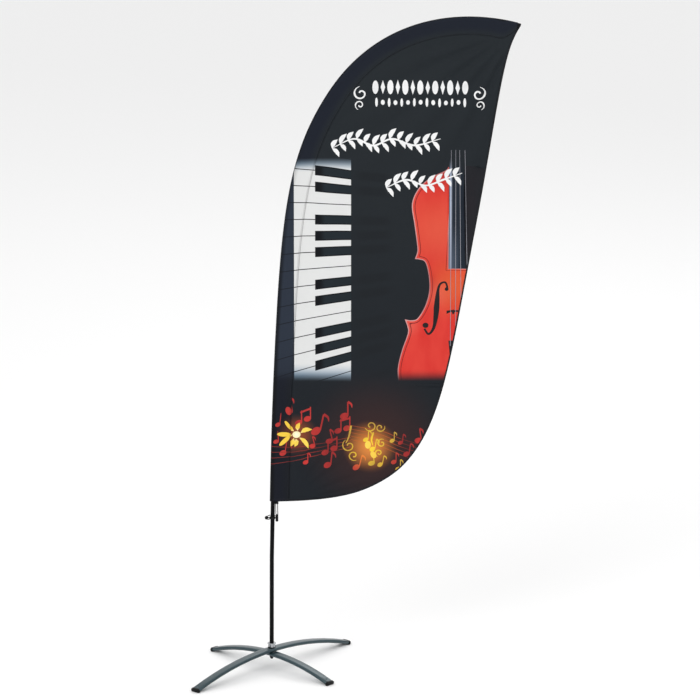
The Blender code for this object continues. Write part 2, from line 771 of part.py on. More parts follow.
def make_binding(path, trailing, pole):
    """Tape bound over the flag's free edge, from below the tip pocket to the sleeve's foot."""
    clear = tip_cap_radius + FIT + POCKET_WALL + BINDING_WIDTH + SEWN_GAP
    apart = np.linalg.norm(trailing - path.point(path.length), axis=1)
    first = int(np.nonzero(apart > clear)[0][0])
    while trailing[first][1] > path.point(path.length)[1]:
        first += 1
    inner = moved_in(trailing, BINDING_WIDTH)
    outline = [*trailing[first:], *inner[first:][::-1]]
    add_object("edge_binding", plate(outline, BINDING_HALF), "webbing", pole, smooth=False)


# ---------------------------------------------------------------- cord, hook and lock


def smooth_through(points, spacing):
    """Even samples of a smooth curve through points."""
    points = np.array(points)
    padded = np.vstack([2 * points[0] - points[1], points, 2 * points[-1] - points[-2]])
    t = np.linspace(0, 1, 24, endpoint=False)[:, None]
    fine = []
    for a, b, c, d in zip(padded, padded[1:], padded[2:], padded[3:]):
        fine.append(
            b + ((c - a) * t + (2 * a - 5 * b + 4 * c - d) * t**2 + (3 * b - a - 3 * c + d) * t**3) / 2
        )
    fine = np.vstack([*fine, points[-1:]])
    at = lengths_along(fine)
    wanted = np.linspace(0, at[-1], int(round(at[-1] / spacing)) + 1)
    return np.column_stack([np.interp(wanted, at, fine[:, k]) for k in range(3)])


def add_cord(name, points, radius, sides_setting, finish, parent):
    curve = bpy.data.curves.new(name, "CURVE")
    curve.dimensions = "3D"
    curve.bevel_depth = radius
    curve.bevel_resolution = sides_setting
    curve.use_fill_caps = True
    spline = curve.splines.new("POLY")
    spline.points.add(len(points) - 1)
    for at, p in zip(spline.points, points):
        at.co = (*p, 1.0)
    curve.materials.append(finish_of(name, finish))
    made = bpy.data.objects.new(name, curve)
    made.parent = parent
    bpy.context.scene.collection.objects.link(made)
    return made


def cord_route(tab_x, tab_low):
    """One strand down from the tab, through the lock, round the back of the pole and the peg."""
    mm = 0.001
    nose = PEG_RADIUS + 2 * FIT + CORD_RADIUS
    back = POLE_RADIUS + FIT + CLIP_WALL + CORD_RADIUS + 0.4 * mm
    above_clip = CLIP_HALF + GAP + CORD_RADIUS + 0.4 * mm
    half_way = nose * math.sqrt(0.5)
    turn = [
        (lock_out, -5 * mm, strand_off),
        (lock_out, 0, strand_off),
        (lock_out, 5 * mm, strand_off),
        (lock_out - 2 * mm, 9.5 * mm, strand_off + 0.8 * mm),
        (back * 0.72, back, above_clip - 1.0 * mm),
        (back * 0.12, back, above_clip + 0.4 * mm),
        (-back * 0.5, back * 0.82, above_clip + 1.4 * mm),
        (-back * 0.94, back * 0.45, above_clip + 1.6 * mm),
        (-peg_out + 5.5 * mm, 1.2 * mm, nose + 1.5 * mm),
        (-peg_out, 0, nose),
        (-peg_out - half_way, 0, half_way),
    ]
    down = [
        (tab_x - 3.4 * mm, 0, tab_low - 2 * GAP),
        (tab_x - 3.5 * mm, -1.2 * mm, tab_low - 6 * mm),
        (tab_x - 3.2 * mm, -5.5 * mm, 26 * mm),
        (lock_out - 3.0 * mm, -10.2 * mm, 14.5 * mm),
        (lock_out - 1.2 * mm, -11.6 * mm, 7.2 * mm),
        (lock_out, -9.2 * mm, 2.8 * mm),
    ]
    up = [
        (lock_out + 0.2 * mm, -9.8 * mm, -1.6 * mm),
        (lock_out + 1.4 * mm, -14.2 * mm, 1.2 * mm),
        (lock_out + 3.0 * mm, -15.4 * mm, 8.0 * mm),
        (lock_out + 3.6 * mm, -12.0 * mm, 17 * mm),
        (tab_x + 3.8 * mm, -6.0 * mm, 27 * mm),
        (tab_x + 3.5 * mm, -1.2 * mm, tab_low - 6 * mm),
        (tab_x + 3.4 * mm, 0, tab_low - 2 * GAP),
    ]
    returning = [(x, y, -z) for x, y, z in reversed(turn)]
    return [*down, *turn, (-peg_out - nose, 0, 0), *returning, *up]


def make_hardware(path, foot, pole, button):
    """Corner tab, hook clip, cord lock and the cord that runs through them."""
    hook_x, _ = path.point(path.at_height(HOOK_HEIGHT))
    level = add_empty("cord_level", pole, (hook_x, 0, HOOK_HEIGHT))
    width, thickness, height = TAB
    tab_corner = path.point(foot) + path.inward(foot) * (tab_out + width)
    tab_high = tab_corner[1] - GAP - HOOK_HEIGHT
    pole_x, _ = path.point(path.at_height(HOOK_HEIGHT + tab_high))
    tab_x = pole_x - hook_x + tab_out
    tab = box(width, thickness, height, (tab_x, 0, tab_high - height / 2))
    bmesh.ops.bevel(
        tab, geom=tab.edges[:], affect="EDGES", offset=thickness / 5, segments=1, profile=0.5, material=-1
    )
    add_object("corner_tab", tab, "webbing", level)

    bore = POLE_RADIUS + FIT
    collar = ring(bore, bore + CLIP_WALL, -CLIP_HALF, CLIP_HALF, SMALL_SIDES)
    clip = add_object("hook_clip", collar, "black_plastic", level)
    arm_start = bore + CLIP_WALL / 2
    arm = box(peg_out - arm_start, *CLIP_ARM, (-(peg_out + arm_start) / 2, 0, 0))
    boolean(clip, arm, "UNION")
    rim, rim_wall = PEG_FLANGE
    peg = [
        (0, -PEG_HALF - rim_wall),
        (rim, -PEG_HALF - rim_wall),
        (rim, -PEG_HALF),
        (PEG_RADIUS, -PEG_HALF),
        (PEG_RADIUS, PEG_HALF),
        (rim, PEG_HALF),
        (rim, PEG_HALF + rim_wall),
        (0, PEG_HALF + rim_wall),
    ]
    peg = turned(peg, SMALL_SIDES, axis="Y")
    bmesh.ops.translate(peg, verts=peg.verts, vec=(-peg_out, 0, 0))
    boolean(clip, peg, "UNION")

    lock = add_empty("lock_axis", level, (lock_out, 0, 0))
    slot_half = strand_off + CORD_RADIUS + SLOT_SPARE
    slot_width = 2 * (CORD_RADIUS + SLOT_SPARE)
    floor = -LOCK_BOTTOM + LOCK_FLOOR
    shell = [
        (0, -LOCK_BOTTOM),
        (LOCK_RADIUS - LOCK_EDGE, -LOCK_BOTTOM),
        (LOCK_RADIUS, -LOCK_BOTTOM + LOCK_EDGE),
        (LOCK_RADIUS, LOCK_TOP - LOCK_EDGE),
        (LOCK_RADIUS - LOCK_EDGE, LOCK_TOP),
        (LOCK_BORE, LOCK_TOP),
        (LOCK_BORE, floor),
        (0, floor),
    ]
    body = add_object("cord_lock_body", turned(shell, SMALL_SIDES), "black_plastic", lock)
    boolean(body, box(slot_width, 3 * LOCK_RADIUS, 2 * slot_half, (0, 0, 0)), "DIFFERENCE")

    stem = LOCK_BORE - FIT
    plunger = [
        (0, -BUTTON_BOTTOM),
        (stem, -BUTTON_BOTTOM),
        (stem, BUTTON_TOP - LOCK_EDGE),
        (stem - LOCK_EDGE, BUTTON_TOP),
        (0, BUTTON_TOP),
    ]
    button.parent = lock
    plunger = add_object("cord_lock_button", turned(plunger, SMALL_SIDES), "black_plastic", button)
    slot = box(slot_width, 3 * LOCK_RADIUS, 2 * slot_half + LOCK_TRAVEL, (0, 0, LOCK_TRAVEL / 2))
    boolean(plunger, slot, "DIFFERENCE")

    coil = stem - SPRING_WIRE
    low = floor + SPRING_WIRE + GAP
    high = -BUTTON_BOTTOM - SPRING_WIRE - GAP
    turns = np.linspace(0, 1, SPRING_TURNS * 10 + 1)
    helix = [
        (coil * math.cos(a), coil * math.sin(a), z)
        for a, z in zip(turns * SPRING_TURNS * 2 * math.pi, low + (high - low) * turns)
    ]
    add_cord("cord_lock_spring", helix, SPRING_WIRE, 1, "steel", lock)
    route = smooth_through(cord_route(tab_x, tab_high - height), CORD_STEP)
    add_cord("tension_cord", route, CORD_RADIUS, 2, "elastic", level)


def main():
    for old in list(bpy.data.objects):
        bpy.data.objects.remove(old, do_unlink=True)
    origin = add_empty("origin")
    stand = add_empty("stand_frame", origin)
    swing_leg = add_empty("leg_fold_axis", origin)
    rotor = add_empty("pole_spin_axis", origin)
    balls = add_empty("ball_orbit_axis", origin)
    pole = add_empty("pole_lift_axis", rotor)
    button = add_empty("button_axis")
    path = build_path()
    make_stand(stand, swing_leg)
    make_bearing(stand, balls, rotor)
    make_spindle(rotor)
    make_pole(path, pole)
    foot = make_flag(path, pole)
    make_hardware(path, foot, pole, button)
    bpy.context.view_layer.update()
    across = [
        (made.matrix_world @ vertex.co).x
        for made in bpy.data.objects
        if made.type == "MESH" and not made.hide_render
        for vertex in made.data.vertices
    ]
    origin.location.x = -(min(across) + max(across)) / 2


main()
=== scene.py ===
"""Looks of a teardrop flag on its turning cross base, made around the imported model.

Metres, +Z up. The flag's own flat coordinates are u, the distance from the spindle's axis towards the
tip, and v, the height above the floor. The printed front faces -Y.
"""

import json
import math

import bmesh
import bpy
import numpy as np
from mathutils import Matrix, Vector, geometry, kdtree, noise


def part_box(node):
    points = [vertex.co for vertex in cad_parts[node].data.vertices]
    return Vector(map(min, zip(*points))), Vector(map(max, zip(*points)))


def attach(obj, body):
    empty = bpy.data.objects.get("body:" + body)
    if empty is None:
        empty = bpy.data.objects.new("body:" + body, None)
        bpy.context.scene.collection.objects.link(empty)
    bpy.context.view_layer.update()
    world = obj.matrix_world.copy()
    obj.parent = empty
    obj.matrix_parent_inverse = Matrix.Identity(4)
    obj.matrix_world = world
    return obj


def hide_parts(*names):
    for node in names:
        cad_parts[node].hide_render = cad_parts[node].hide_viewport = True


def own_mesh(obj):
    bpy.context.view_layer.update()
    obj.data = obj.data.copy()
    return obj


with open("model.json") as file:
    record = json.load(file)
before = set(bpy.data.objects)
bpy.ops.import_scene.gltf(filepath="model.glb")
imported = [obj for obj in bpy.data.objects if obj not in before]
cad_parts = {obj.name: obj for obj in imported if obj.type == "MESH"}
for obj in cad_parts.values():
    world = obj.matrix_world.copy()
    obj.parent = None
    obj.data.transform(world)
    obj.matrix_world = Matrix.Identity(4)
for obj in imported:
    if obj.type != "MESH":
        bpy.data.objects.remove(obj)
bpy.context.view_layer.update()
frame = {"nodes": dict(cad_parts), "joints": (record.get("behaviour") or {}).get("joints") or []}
MM = 0.001
EDGE_STEP = 0.006  # between stations along the flag's edges
PAIR_STEP = EDGE_STEP * 1.414  # the same step, counted along the leading edge and the seam at once
KNOT_GAP = 25 * MM  # the least distance between the points that guide the sleeve's edges
TRAILING_GAP = 18 * MM
SEAM_HALF = 1.2 * MM  # half of the sleeve's thickness where it is sewn to the panel

# ---------------------------------------------------------------- places taken from the frame


def middle(node):
    low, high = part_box(node)
    return (low + high) / 2


hub = middle("spindle")
flag_middle = (hub.x + 0.42, 1.45)  # a point that sees the whole outline of the flag


def points_of(node, test=lambda p: True):
    """A CAD node's points that pass a test, each once."""
    found = {}
    for vertex in frame["nodes"][node].data.vertices:
        if test(vertex.co):
            found[tuple(round(c, 5) for c in vertex.co)] = vertex.co.copy()
    return list(found.values())


def round_the_flag(points, start):
    """Points (x, z) in clockwise order round the flag's middle, from a start angle in degrees."""

    def turn(p):
        angle = math.atan2(p[1] - flag_middle[1], p[0] - flag_middle[0])
        return (math.radians(start) - angle) % (2 * math.pi)

    return sorted(points, key=turn)


def even(points, step):
    """The same line with even steps."""
    points = np.array(points, float)
    at = np.concatenate([[0], np.cumsum(np.linalg.norm(np.diff(points, axis=0), axis=1))])
    wanted = np.linspace(0, at[-1], int(round(at[-1] / step)) + 1)
    return np.column_stack([np.interp(wanted, at, points[:, k]) for k in range(points.shape[1])])


def smooth_curve(points, step):
    """Even samples of a smooth curve through points."""
    points = np.array(points, float)
    padded = np.vstack([2 * points[0] - points[1], points, 2 * points[-1] - points[-2]])
    t = np.linspace(0, 1, 24, endpoint=False)[:, None]
    fine = []
    for a, b, c, d in zip(padded, padded[1:], padded[2:], padded[3:]):
        bend = (2 * a - 5 * b + 4 * c - d) * t**2 + (3 * b - a - 3 * c + d) * t**3
        fine.append(b + ((c - a) * t + bend) / 2)
    return even(np.vstack([*fine, points[-1:]]), step)


def fair_curve(points, step):
    """Even samples of a curve through unevenly spaced points, that doesn't overshoot."""
    points = np.array(points, float)
    gap = np.linalg.norm(np.diff(points, axis=0), axis=1)[:, None]
    slope = np.diff(points, axis=0) / gap
    inner = (slope[:-1] * gap[1:] + slope[1:] * gap[:-1]) / (gap[1:] + gap[:-1])
    ways = np.vstack([slope[:1], inner, slope[-1:]])
    t = np.linspace(0, 1, 60, endpoint=False)[:, None]
    fine = []
    for a, b, m, n, h in zip(points, points[1:], ways, ways[1:], gap):
        ease = 3 * t**2 - 2 * t**3
        fine.append(a + (b - a) * ease + h * (m * (t - 2 * t**2 + t**3) + n * (t**3 - t**2)))
    return even(np.vstack([*fine, points[-1:]]), step)


def thinned(points, least):
    """The points without those that crowd another; the first and the last stay."""
    kept = [points[0]]
    for p in points[1:-1]:
        if math.dist(p, kept[-1]) > least and math.dist(p, points[-1]) > least:
            kept.append(p)
    return np.array([*kept, points[-1]])


def read_leading_edge():
    """The sleeve's outer edge in the flag's plane, from the foot to the tip."""
    rims = [(p.x, p.z) for p in points_of("pole_sleeve", lambda p: abs(p.y) < 0.01 * MM)]
    kept = []
    for p in sorted(rims, key=lambda p: -math.dist(p, flag_middle)):
        if all(math.dist(p, q) > 1.5 * MM for q in kept):
            kept.append(p)
    return thinned(round_the_flag(kept, -110), KNOT_GAP)


def read_seam(edge):
    """The sleeve's seam, at the station of each point of the leading edge."""
    ends = [(p.x, p.z) for p in points_of("pole_sleeve", lambda p: abs(p.y - SEAM_HALF) < 0.02 * MM)]
    fine = even(edge, 1 * MM)

    def station(p):
        return int(np.linalg.norm(fine - p, axis=1).argmin())

    ends = sorted(ends, key=station)
    at = np.array([station(p) for p in ends], float)
    wanted = np.array([station(p) for p in edge], float)
    ends = np.array(ends)
    return np.column_stack([np.interp(wanted, at, ends[:, k]) for k in (0, 1)])


def read_trailing_edge():
    """The binding's outer edge, from the tip to the foot."""
    panel = [(p.x, p.z) for p in points_of("flag_panel")]
    top = max(z for x, z in panel)
    outer = []
    for p in points_of("edge_binding", lambda p: p.y > 0 and p.z < top - 1 * MM):
        if min(math.dist((p.x, p.z), q) for q in panel) > 2 * MM:
            outer.append((p.x, p.z))
    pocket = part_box("tip_pocket")
    corner = (pocket[1].x - 2 * MM, pocket[0].z + 2 * MM)
    return thinned([corner, *round_the_flag(outer, 80)], TRAILING_GAP)


edge_knots = read_leading_edge()
both = fair_curve(np.hstack([edge_knots, read_seam(edge_knots)]), PAIR_STEP)
leading, seam = both[:, :2], both[:, 2:]
trailing = fair_curve(read_trailing_edge(), EDGE_STEP)
sleeve_half = (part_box("pole_sleeve")[1].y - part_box("pole_sleeve")[0].y) / 2

# ---------------------------------------------------------------- how the cloth lies


def nearest(points, line):
    """Distance from each point to a line's samples."""
    tree = kdtree.KDTree(len(line))
    for i, (x, z) in enumerate(line):
        tree.insert((x, 0, z), i)
    tree.balance()
    return np.array([tree.find((x, 0, z))[2] for x, z in points])


def eased(value, low, high):
    """0 at low and 1 at high, smooth between."""
    t = np.clip((value - low) / (high - low), 0, 1)
    return t * t * (3 - 2 * t)


def pull(points, corner, ridges, seed, height, rise, fall):
    """Tension wrinkles that run out from a corner; they rise and fall away between two distances each."""
    offset = points - corner
    distance = np.linalg.norm(offset, axis=1)
    angle = np.arctan2(offset[:, 1], offset[:, 0])
    drift = np.array([noise.noise((a * 2.1, r * 1.7, seed)) for a, r in zip(angle, distance)])
    ridge = np.sin(angle * ridges + 2.4 * drift + 1.5 * seed)
    return height * ridge * eased(distance, *rise) * (1 - eased(distance, *fall))


def cloth_depth(points):
    """How far the taut cloth stands off the flag's plane, towards +Y, at points (x, z)."""
    points = np.asarray(points, float)
    tip, foot = trailing[0], trailing[-1]
    from_seam = nearest(points, seam)
    from_edge = nearest(points, trailing)
    across = from_seam / (from_seam + from_edge + 1e-6)
    belly = -7 * MM * np.sin(math.pi * np.clip(across, 0, 1)) * eased(from_seam, 0, 0.25)
    tip_pull = pull(points, tip, 30, 0.3, 5.6 * MM, (0.03, 0.25), (0.45, 1.25))
    foot_pull = pull(points, foot, 26, 1.7, 3.4 * MM, (0.03, 0.18), (0.22, 0.62))
    broad = np.array([noise.noise((x * 3.1, z * 1.6, 5.2)) for x, z in points])
    fine = np.array([noise.noise((x * 13 + z * 5, z * 4.2 - x * 2, 9.1)) for x, z in points])
    flutter = np.array([noise.noise((z * 6.3, 3.3, 1.0)) for x, z in points])
    loose = eased(from_seam, 0.0, 0.09)
    depth = belly + tip_pull + foot_pull + 5.5 * MM * broad * loose + 1.3 * MM * fine * loose
    depth += 3.0 * MM * flutter * (1 - eased(from_edge, 0, 0.12)) * loose
    pinned = eased(np.linalg.norm(points - tip, axis=1), 0.01, 0.12)
    pinned *= eased(np.linalg.norm(points - foot, axis=1), 0.0, 0.10)
    return depth * pinned * eased(from_seam, 0.0, 0.05)


# ---------------------------------------------------------------- meshes

SHARP_FROM = 38  # degrees between faces, past which an edge looks sharp


def add_piece(name, bm, materials, body, slot, node):
    """Makes a mesh into a piece that rides on a body and stands for a CAD node."""
    mesh = bpy.data.meshes.new(name)
    bm.to_mesh(mesh)
    bm.free()
    mesh.shade_smooth()
    mesh.set_sharp_from_angle(angle=math.radians(SHARP_FROM))
    for material in materials:
        mesh.materials.append(material)
    piece = bpy.data.objects.new(name, mesh)
    bpy.context.scene.collection.objects.link(piece)
    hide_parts(node)
    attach(piece, body)
    return piece


def solidify(piece, thickness, offset=0.0):
    modifier = piece.modifiers.new("thickness", "SOLIDIFY")
    modifier.thickness = thickness
    modifier.offset = offset
    return piece


def lay_map(bm, name, flat):
    """A map layer whose coordinates come from a function of each vertex."""
    layer = bm.loops.layers.uv.new(name)
    for face in bm.faces:
        for loop in face.loops:
            loop[layer].uv = flat(loop.vert)


def closed(bm):
    """Joins a skin's meeting edges, fills its open ends and turns its faces outwards."""
    bmesh.ops.remove_doubles(bm, verts=bm.verts, dist=1e-6)
    bmesh.ops.holes_fill(bm, edges=[e for e in bm.edges if e.is_boundary], sides=0)
    bmesh.ops.recalc_face_normals(bm, faces=bm.faces)
    return bm


def strip_grid(rows, columns, place, **maps):
    """A grid of rows by columns, placed by place(i, j), with map layers from functions of i and j."""
    bm = bmesh.new()
    bmesh.ops.create_grid(bm, x_segments=rows, y_segments=columns, size=0.5)
    index = {}
    for v in bm.verts:
        index[v] = (round((v.co.x + 0.5) * rows), round((v.co.y + 0.5) * columns))
    for name, given in maps.items():
        lay_map(bm, name, lambda v: given(*index[v]))
    for v in bm.verts:
        v.co = place(*index[v])
    bmesh.ops.recalc_face_normals(bm, faces=bm.faces)
    return bm


def flag_uv(x, z):
    return (x - hub.x, z)


# ---------------------------------------------------------------- materials


class Nodes:
    """A node tree that is built step by step; its methods give back output sockets."""

    def __init__(self, tree):
        self.tree = tree

    def put(self, socket, value):
        if isinstance(value, bpy.types.NodeSocket):
            self.tree.links.new(value, socket)
        elif value is not None:
            socket.default_value = value

    def node(self, kind, **settings):
        made = self.tree.nodes.new(kind)
        for key, value in settings.items():
            setattr(made, key, value)
        return made

    def math(self, operation, a, b=None):
        made = self.node("ShaderNodeMath", operation=operation)
        self.put(made.inputs[0], a)
        self.put(made.inputs[1], b)
        return made.outputs[0]

    def step(self, value, low, high):
        """0 below low and 1 above high, eased between; low over high turns it round."""
        made = self.node("ShaderNodeMapRange", interpolation_type="SMOOTHSTEP", clamp=True)
        ends = (low, high, 0.0, 1.0) if low < high else (high, low, 1.0, 0.0)
        for key, end in zip(("From Min", "From Max", "To Min", "To Max"), ends):
            made.inputs[key].default_value = end
        self.put(made.inputs["Value"], value)
        return made.outputs["Result"]

    def between(self, value, low, high, soft):
        """1 from low to high and 0 outside, eased at both ends."""
        rise = self.step(value, low - soft, low + soft)
        return self.product(rise, self.step(value, high + soft, high - soft))

    def product(self, *values):
        out = values[0]
        for value in values[1:]:
            out = self.math("MULTIPLY", out, value)
        return out

    def split(self, vector):
        """A vector's three numbers."""
        made = self.node("ShaderNodeSeparateXYZ")
        self.put(made.inputs[0], vector)
        return made.outputs[0], made.outputs[1], made.outputs[2]


class Paint(Nodes):
    """A material with a Principled shader, and patterns for it."""

    def __init__(self, name, roughness=0.5, metallic=0.0, **fixed):
        self.material = bpy.data.materials.new(name)
        self.material.use_nodes = True
        super().__init__(self.material.node_tree)
        self.shader = self.tree.nodes["Principled BSDF"]
        self.shader.inputs["Roughness"].default_value = roughness
        self.shader.inputs["Metallic"].default_value = metallic
        for key, value in fixed.items():
            self.shader.inputs[key.replace("_", " ")].default_value = value

    def mix(self, factor, a, b):
        made = self.node("ShaderNodeMix", data_type="RGBA")
        self.put(made.inputs[0], factor)
        for socket, value in ((made.inputs[6], a), (made.inputs[7], b)):
            self.put(socket, (*value, 1.0) if isinstance(value, tuple) else value)
        return made.outputs[2]

    def over(self, colour, tone, where, strength):
        """A colour with a tone laid on it where a mask is 1, at a strength."""
        return self.mix(self.product(where, strength), colour, tone)

    def map(self, name="cloth"):
        return self.node("ShaderNodeUVMap", uv_map=name).outputs[0]

    def place(self):
        return self.node("ShaderNodeTexCoord").outputs["Object"]

    def stretched(self, vector, scale):
        made = self.node("ShaderNodeMapping")
        made.inputs["Scale"].default_value = scale
        self.put(made.inputs["Vector"], vector)
        return made.outputs[0]

    def noise(self, vector, scale, detail):
        made = self.node("ShaderNodeTexNoise")
        made.inputs["Scale"].default_value = scale
        made.inputs["Detail"].default_value = detail
        self.put(made.inputs["Vector"], vector)
        return made.outputs["Fac"]

    def wave(self, vector, scale, direction):
        made = self.node("ShaderNodeTexWave", wave_type="BANDS", bands_direction=direction)
        made.inputs["Scale"].default_value = scale
        self.put(made.inputs["Vector"], vector)
        return made.outputs["Fac"]

    def bump(self, height, distance, strength=1.0, after=None):
        made = self.node("ShaderNodeBump")
        made.inputs["Distance"].default_value = distance
        made.inputs["Strength"].default_value = strength
        self.put(made.inputs["Height"], height)
        self.put(made.inputs["Normal"], after)
        return made.outputs[0]

    def done(self, colour, roughness=None, normal=None):
        self.put(self.shader.inputs["Base Color"], (*colour, 1.0) if isinstance(colour, tuple) else colour)
        self.put(self.shader.inputs["Roughness"], roughness)
        self.put(self.shader.inputs["Normal"], normal)
        return self.material


# The print's layout, in the flag's flat coordinates
KEYS = (0.085, 0.2905)  # u of the white keys' ends
BLACK_KEYS_FROM = 0.161
KEYS_TOP = 1.906
KEYS_LOW = 1.112
KEY_PITCH = 0.0635
FIRST_KEY_LINE = 1.889
KEY_FAN = 0.55  # growth of the key lines' slope per metre down from KEY_LEVEL
KEY_LEVEL = 1.67
CRISP = 0.0006  # half the softness of a printed edge
GLOW = (0.359, 0.846)
BURST = (0.0925, 0.890)
VIOLIN_FADE = (1.140, 1.092)  # v between which the violin goes into the ground

GROUND_LOW = (0.0070, 0.0095, 0.0140)
GROUND_HIGH = (0.0115, 0.0155, 0.0195)
SLEEVE_TONE = (0.0045, 0.0070, 0.0175)


def weave(paint, flat):
    """Fine knitted cloth: a bump of ribs and courses, with slight unevenness."""
    knit = paint.math("ADD", paint.wave(flat, 420, "X"), paint.wave(flat, 300, "Y"))
    uneven = paint.bump(paint.noise(flat, 38, 3), 0.0012, 0.25)
    return paint.bump(knit, 0.00012, 0.35, uneven)


def radial(paint, flat, centre, inner, outer):
    """1 inside the inner radius of a spot and 0 outside the outer one."""
    made = paint.node("ShaderNodeVectorMath", operation="DISTANCE")
    paint.put(made.inputs[0], flat)
    made.inputs[1].default_value = (*centre, 0)
    return paint.step(made.outputs["Value"], outer, inner)


def keyboard(paint, colour, u, v):
    """Piano keys over a colour: white keys fanning a little, black keys, and a dim reflection."""
    along = paint.math("SUBTRACT", u, KEYS[0])
    lifted = paint.math("SUBTRACT", v, paint.product(along, KEY_FAN * KEY_LEVEL))
    level = paint.math("DIVIDE", lifted, paint.math("SUBTRACT", 1.0, paint.product(along, KEY_FAN)))
    count = paint.math("DIVIDE", paint.math("SUBTRACT", FIRST_KEY_LINE, level), KEY_PITCH)
    octave = paint.math("FLOORED_MODULO", paint.math("ADD", count, 0.5), 7.0)
    nearest_black = None
    for key in (0.5, 1.5, 3.5, 4.5, 5.5):
        off = paint.math("ABSOLUTE", paint.math("SUBTRACT", octave, key))
        nearest_black = off if nearest_black is None else paint.math("MINIMUM", nearest_black, off)
    tall = paint.between(v, KEYS_LOW, KEYS_TOP, 0.022)
    line = paint.step(paint.math("PINGPONG", count, 0.5), 0.030, 0.022)
    black = paint.step(nearest_black, 0.312, 0.300)
    black = paint.product(black, paint.step(u, BLACK_KEYS_FROM - CRISP, BLACK_KEYS_FROM + CRISP))
    ends = paint.step(v, KEYS_LOW + 0.05, KEYS_LOW - 0.005)
    ends = paint.math("MAXIMUM", ends, paint.step(v, KEYS_TOP - 0.035, KEYS_TOP + 0.01))
    ivory = paint.mix(ends, (0.665, 0.67, 0.665), (0.20, 0.29, 0.38))
    shade = paint.product(paint.step(u, KEYS[0], KEYS[0] + 0.1), 0.12)
    ivory = paint.mix(shade, ivory, (0.74, 0.75, 0.76))
    ivory = paint.mix(line, ivory, (0.012, 0.013, 0.016))
    gloss = paint.product(paint.step(nearest_black, 0.26, 0.21), paint.step(u, 0.176, 0.20), 0.8)
    ebony = paint.mix(gloss, (0.002, 0.003, 0.005), (0.0125, 0.020, 0.026))
    keys = paint.mix(black, ivory, ebony)
    fronts = paint.product(paint.step(u, KEYS[0] + CRISP, KEYS[0] - CRISP), tall)
    slate = paint.mix(line, (0.022, 0.030, 0.047), (0.008, 0.011, 0.017))
    colour = paint.over(colour, slate, fronts, 0.85)
    stripes = paint.step(nearest_black, 0.45, 0.15)
    mirror = paint.product(stripes, paint.between(u, KEYS[1] + 0.02, KEYS[1] + 0.14, 0.03), tall, 0.55)
    colour = paint.mix(mirror, colour, (0.008, 0.010, 0.013))
    area = paint.product(paint.between(u, *KEYS, CRISP), tall)
    return paint.mix(area, colour, keys)


def night(paint, flat, v, tone=None):
    """The print's dark ground with its soft lights."""
    colour = paint.mix(paint.step(v, 0.7, 2.3), GROUND_LOW, GROUND_HIGH)
    if tone:
        colour = paint.mix(0.8, colour, tone)
    cloud = paint.noise(paint.stretched(flat, (1, 0.6, 1)), 3.1, 2)
    colour = paint.over(colour, (0.020, 0.024, 0.026), cloud, 0.25)
    warm = radial(paint, flat, (GLOW[0] + 0.02, GLOW[1] + 0.01), 0.05, 0.30)
    return paint.over(colour, (0.070, 0.022, 0.016), warm, 0.38)


def ground_colour(paint, flat, u, v, tone=None):
    """The ground with the keyboard and the lights on it."""
    colour = keyboard(paint, night(paint, flat, v, tone), u, v)
    core = radial(paint, flat, GLOW, 0.0, 0.105)
    colour = paint.over(colour, (0.74, 0.25, 0.05), core, 0.9)
    burst = radial(paint, flat, BURST, 0.0, 0.085)
    return paint.over(colour, (0.45, 0.10, 0.03), burst, 0.55)


SLEEVE_MARKS = (  # centre, half length, half width, tilt, tone: the parts of the print on the sleeve
    ((0.064, 0.980), 0.016, 0.0105, 110, "red"),
    ((0.025, 0.930), 0.010, 0.0075, 30, "red"),
    ((0.034, 0.950), 0.024, 0.0015, 84, "red"),
    ((0.018, 0.866), 0.010, 0.0075, 20, "red"),
    ((0.026, 0.884), 0.022, 0.0015, 95, "red"),
    ((0.043, 0.822), 0.013, 0.0100, 30, "red"),
    ((0.054, 0.846), 0.026, 0.0016, 82, "red"),
    ((0.030, 0.7846), 0.075, 0.0010, 6.2, "staff"),
    ((0.030, 0.8052), 0.075, 0.0010, 2.3, "staff"),
    ((0.030, 0.8254), 0.075, 0.0010, -1.5, "staff"),
    ((0.030, 0.8457), 0.075, 0.0010, -5.4, "staff"),
    ((0.050, 0.868), 0.026, 0.0080, 222, "gold"),
    ((0.048, 0.892), 0.026, 0.0085, 175, "gold"),
    ((0.062, 0.926), 0.020, 0.0060, 125, "gold"),
)
MARK_TONES = {"staff": (0.22, 0.028, 0.024), "red": (0.45, 0.035, 0.030), "gold": (0.85, 0.56, 0.06)}


def marked(paint, colour, flat):
    """The print's small marks, each an oval, over a colour."""
    for centre, long, wide, tilt, tone in SLEEVE_MARKS:
        put = paint.node("ShaderNodeMapping", vector_type="TEXTURE")
        put.inputs["Location"].default_value = (*centre, 0)
        put.inputs["Rotation"].default_value = (0, 0, math.radians(tilt))
        put.inputs["Scale"].default_value = (long, wide, 1)
        paint.put(put.inputs["Vector"], flat)
        size = paint.node("ShaderNodeVectorMath", operation="LENGTH")
        paint.put(size.inputs[0], put.outputs[0])
        colour = paint.mix(paint.step(size.outputs["Value"], 1.04, 0.96), colour, MARK_TONES[tone])
    return colour


def stitches(paint, along, across, line, half=0.4 * MM, pitch=1.6 * MM, gap=0.45 * MM):
    """A dashed line of thread that runs along, at a distance across."""
    near = paint.between(across, line - half, line + half, 0.15 * MM)
    dash = paint.step(paint.math("PINGPONG", along, pitch), gap - 0.1 * MM, gap + 0.1 * MM)
    return paint.product(near, dash)


def cloth_paint(name):
    """Matt polyester with no colour yet, and the cloth's flat map."""
    paint = Paint(name, 0.66, Specular_IOR_Level=0.14, Sheen_Weight=0.02, Sheen_Roughness=0.4)
    return paint, paint.map()


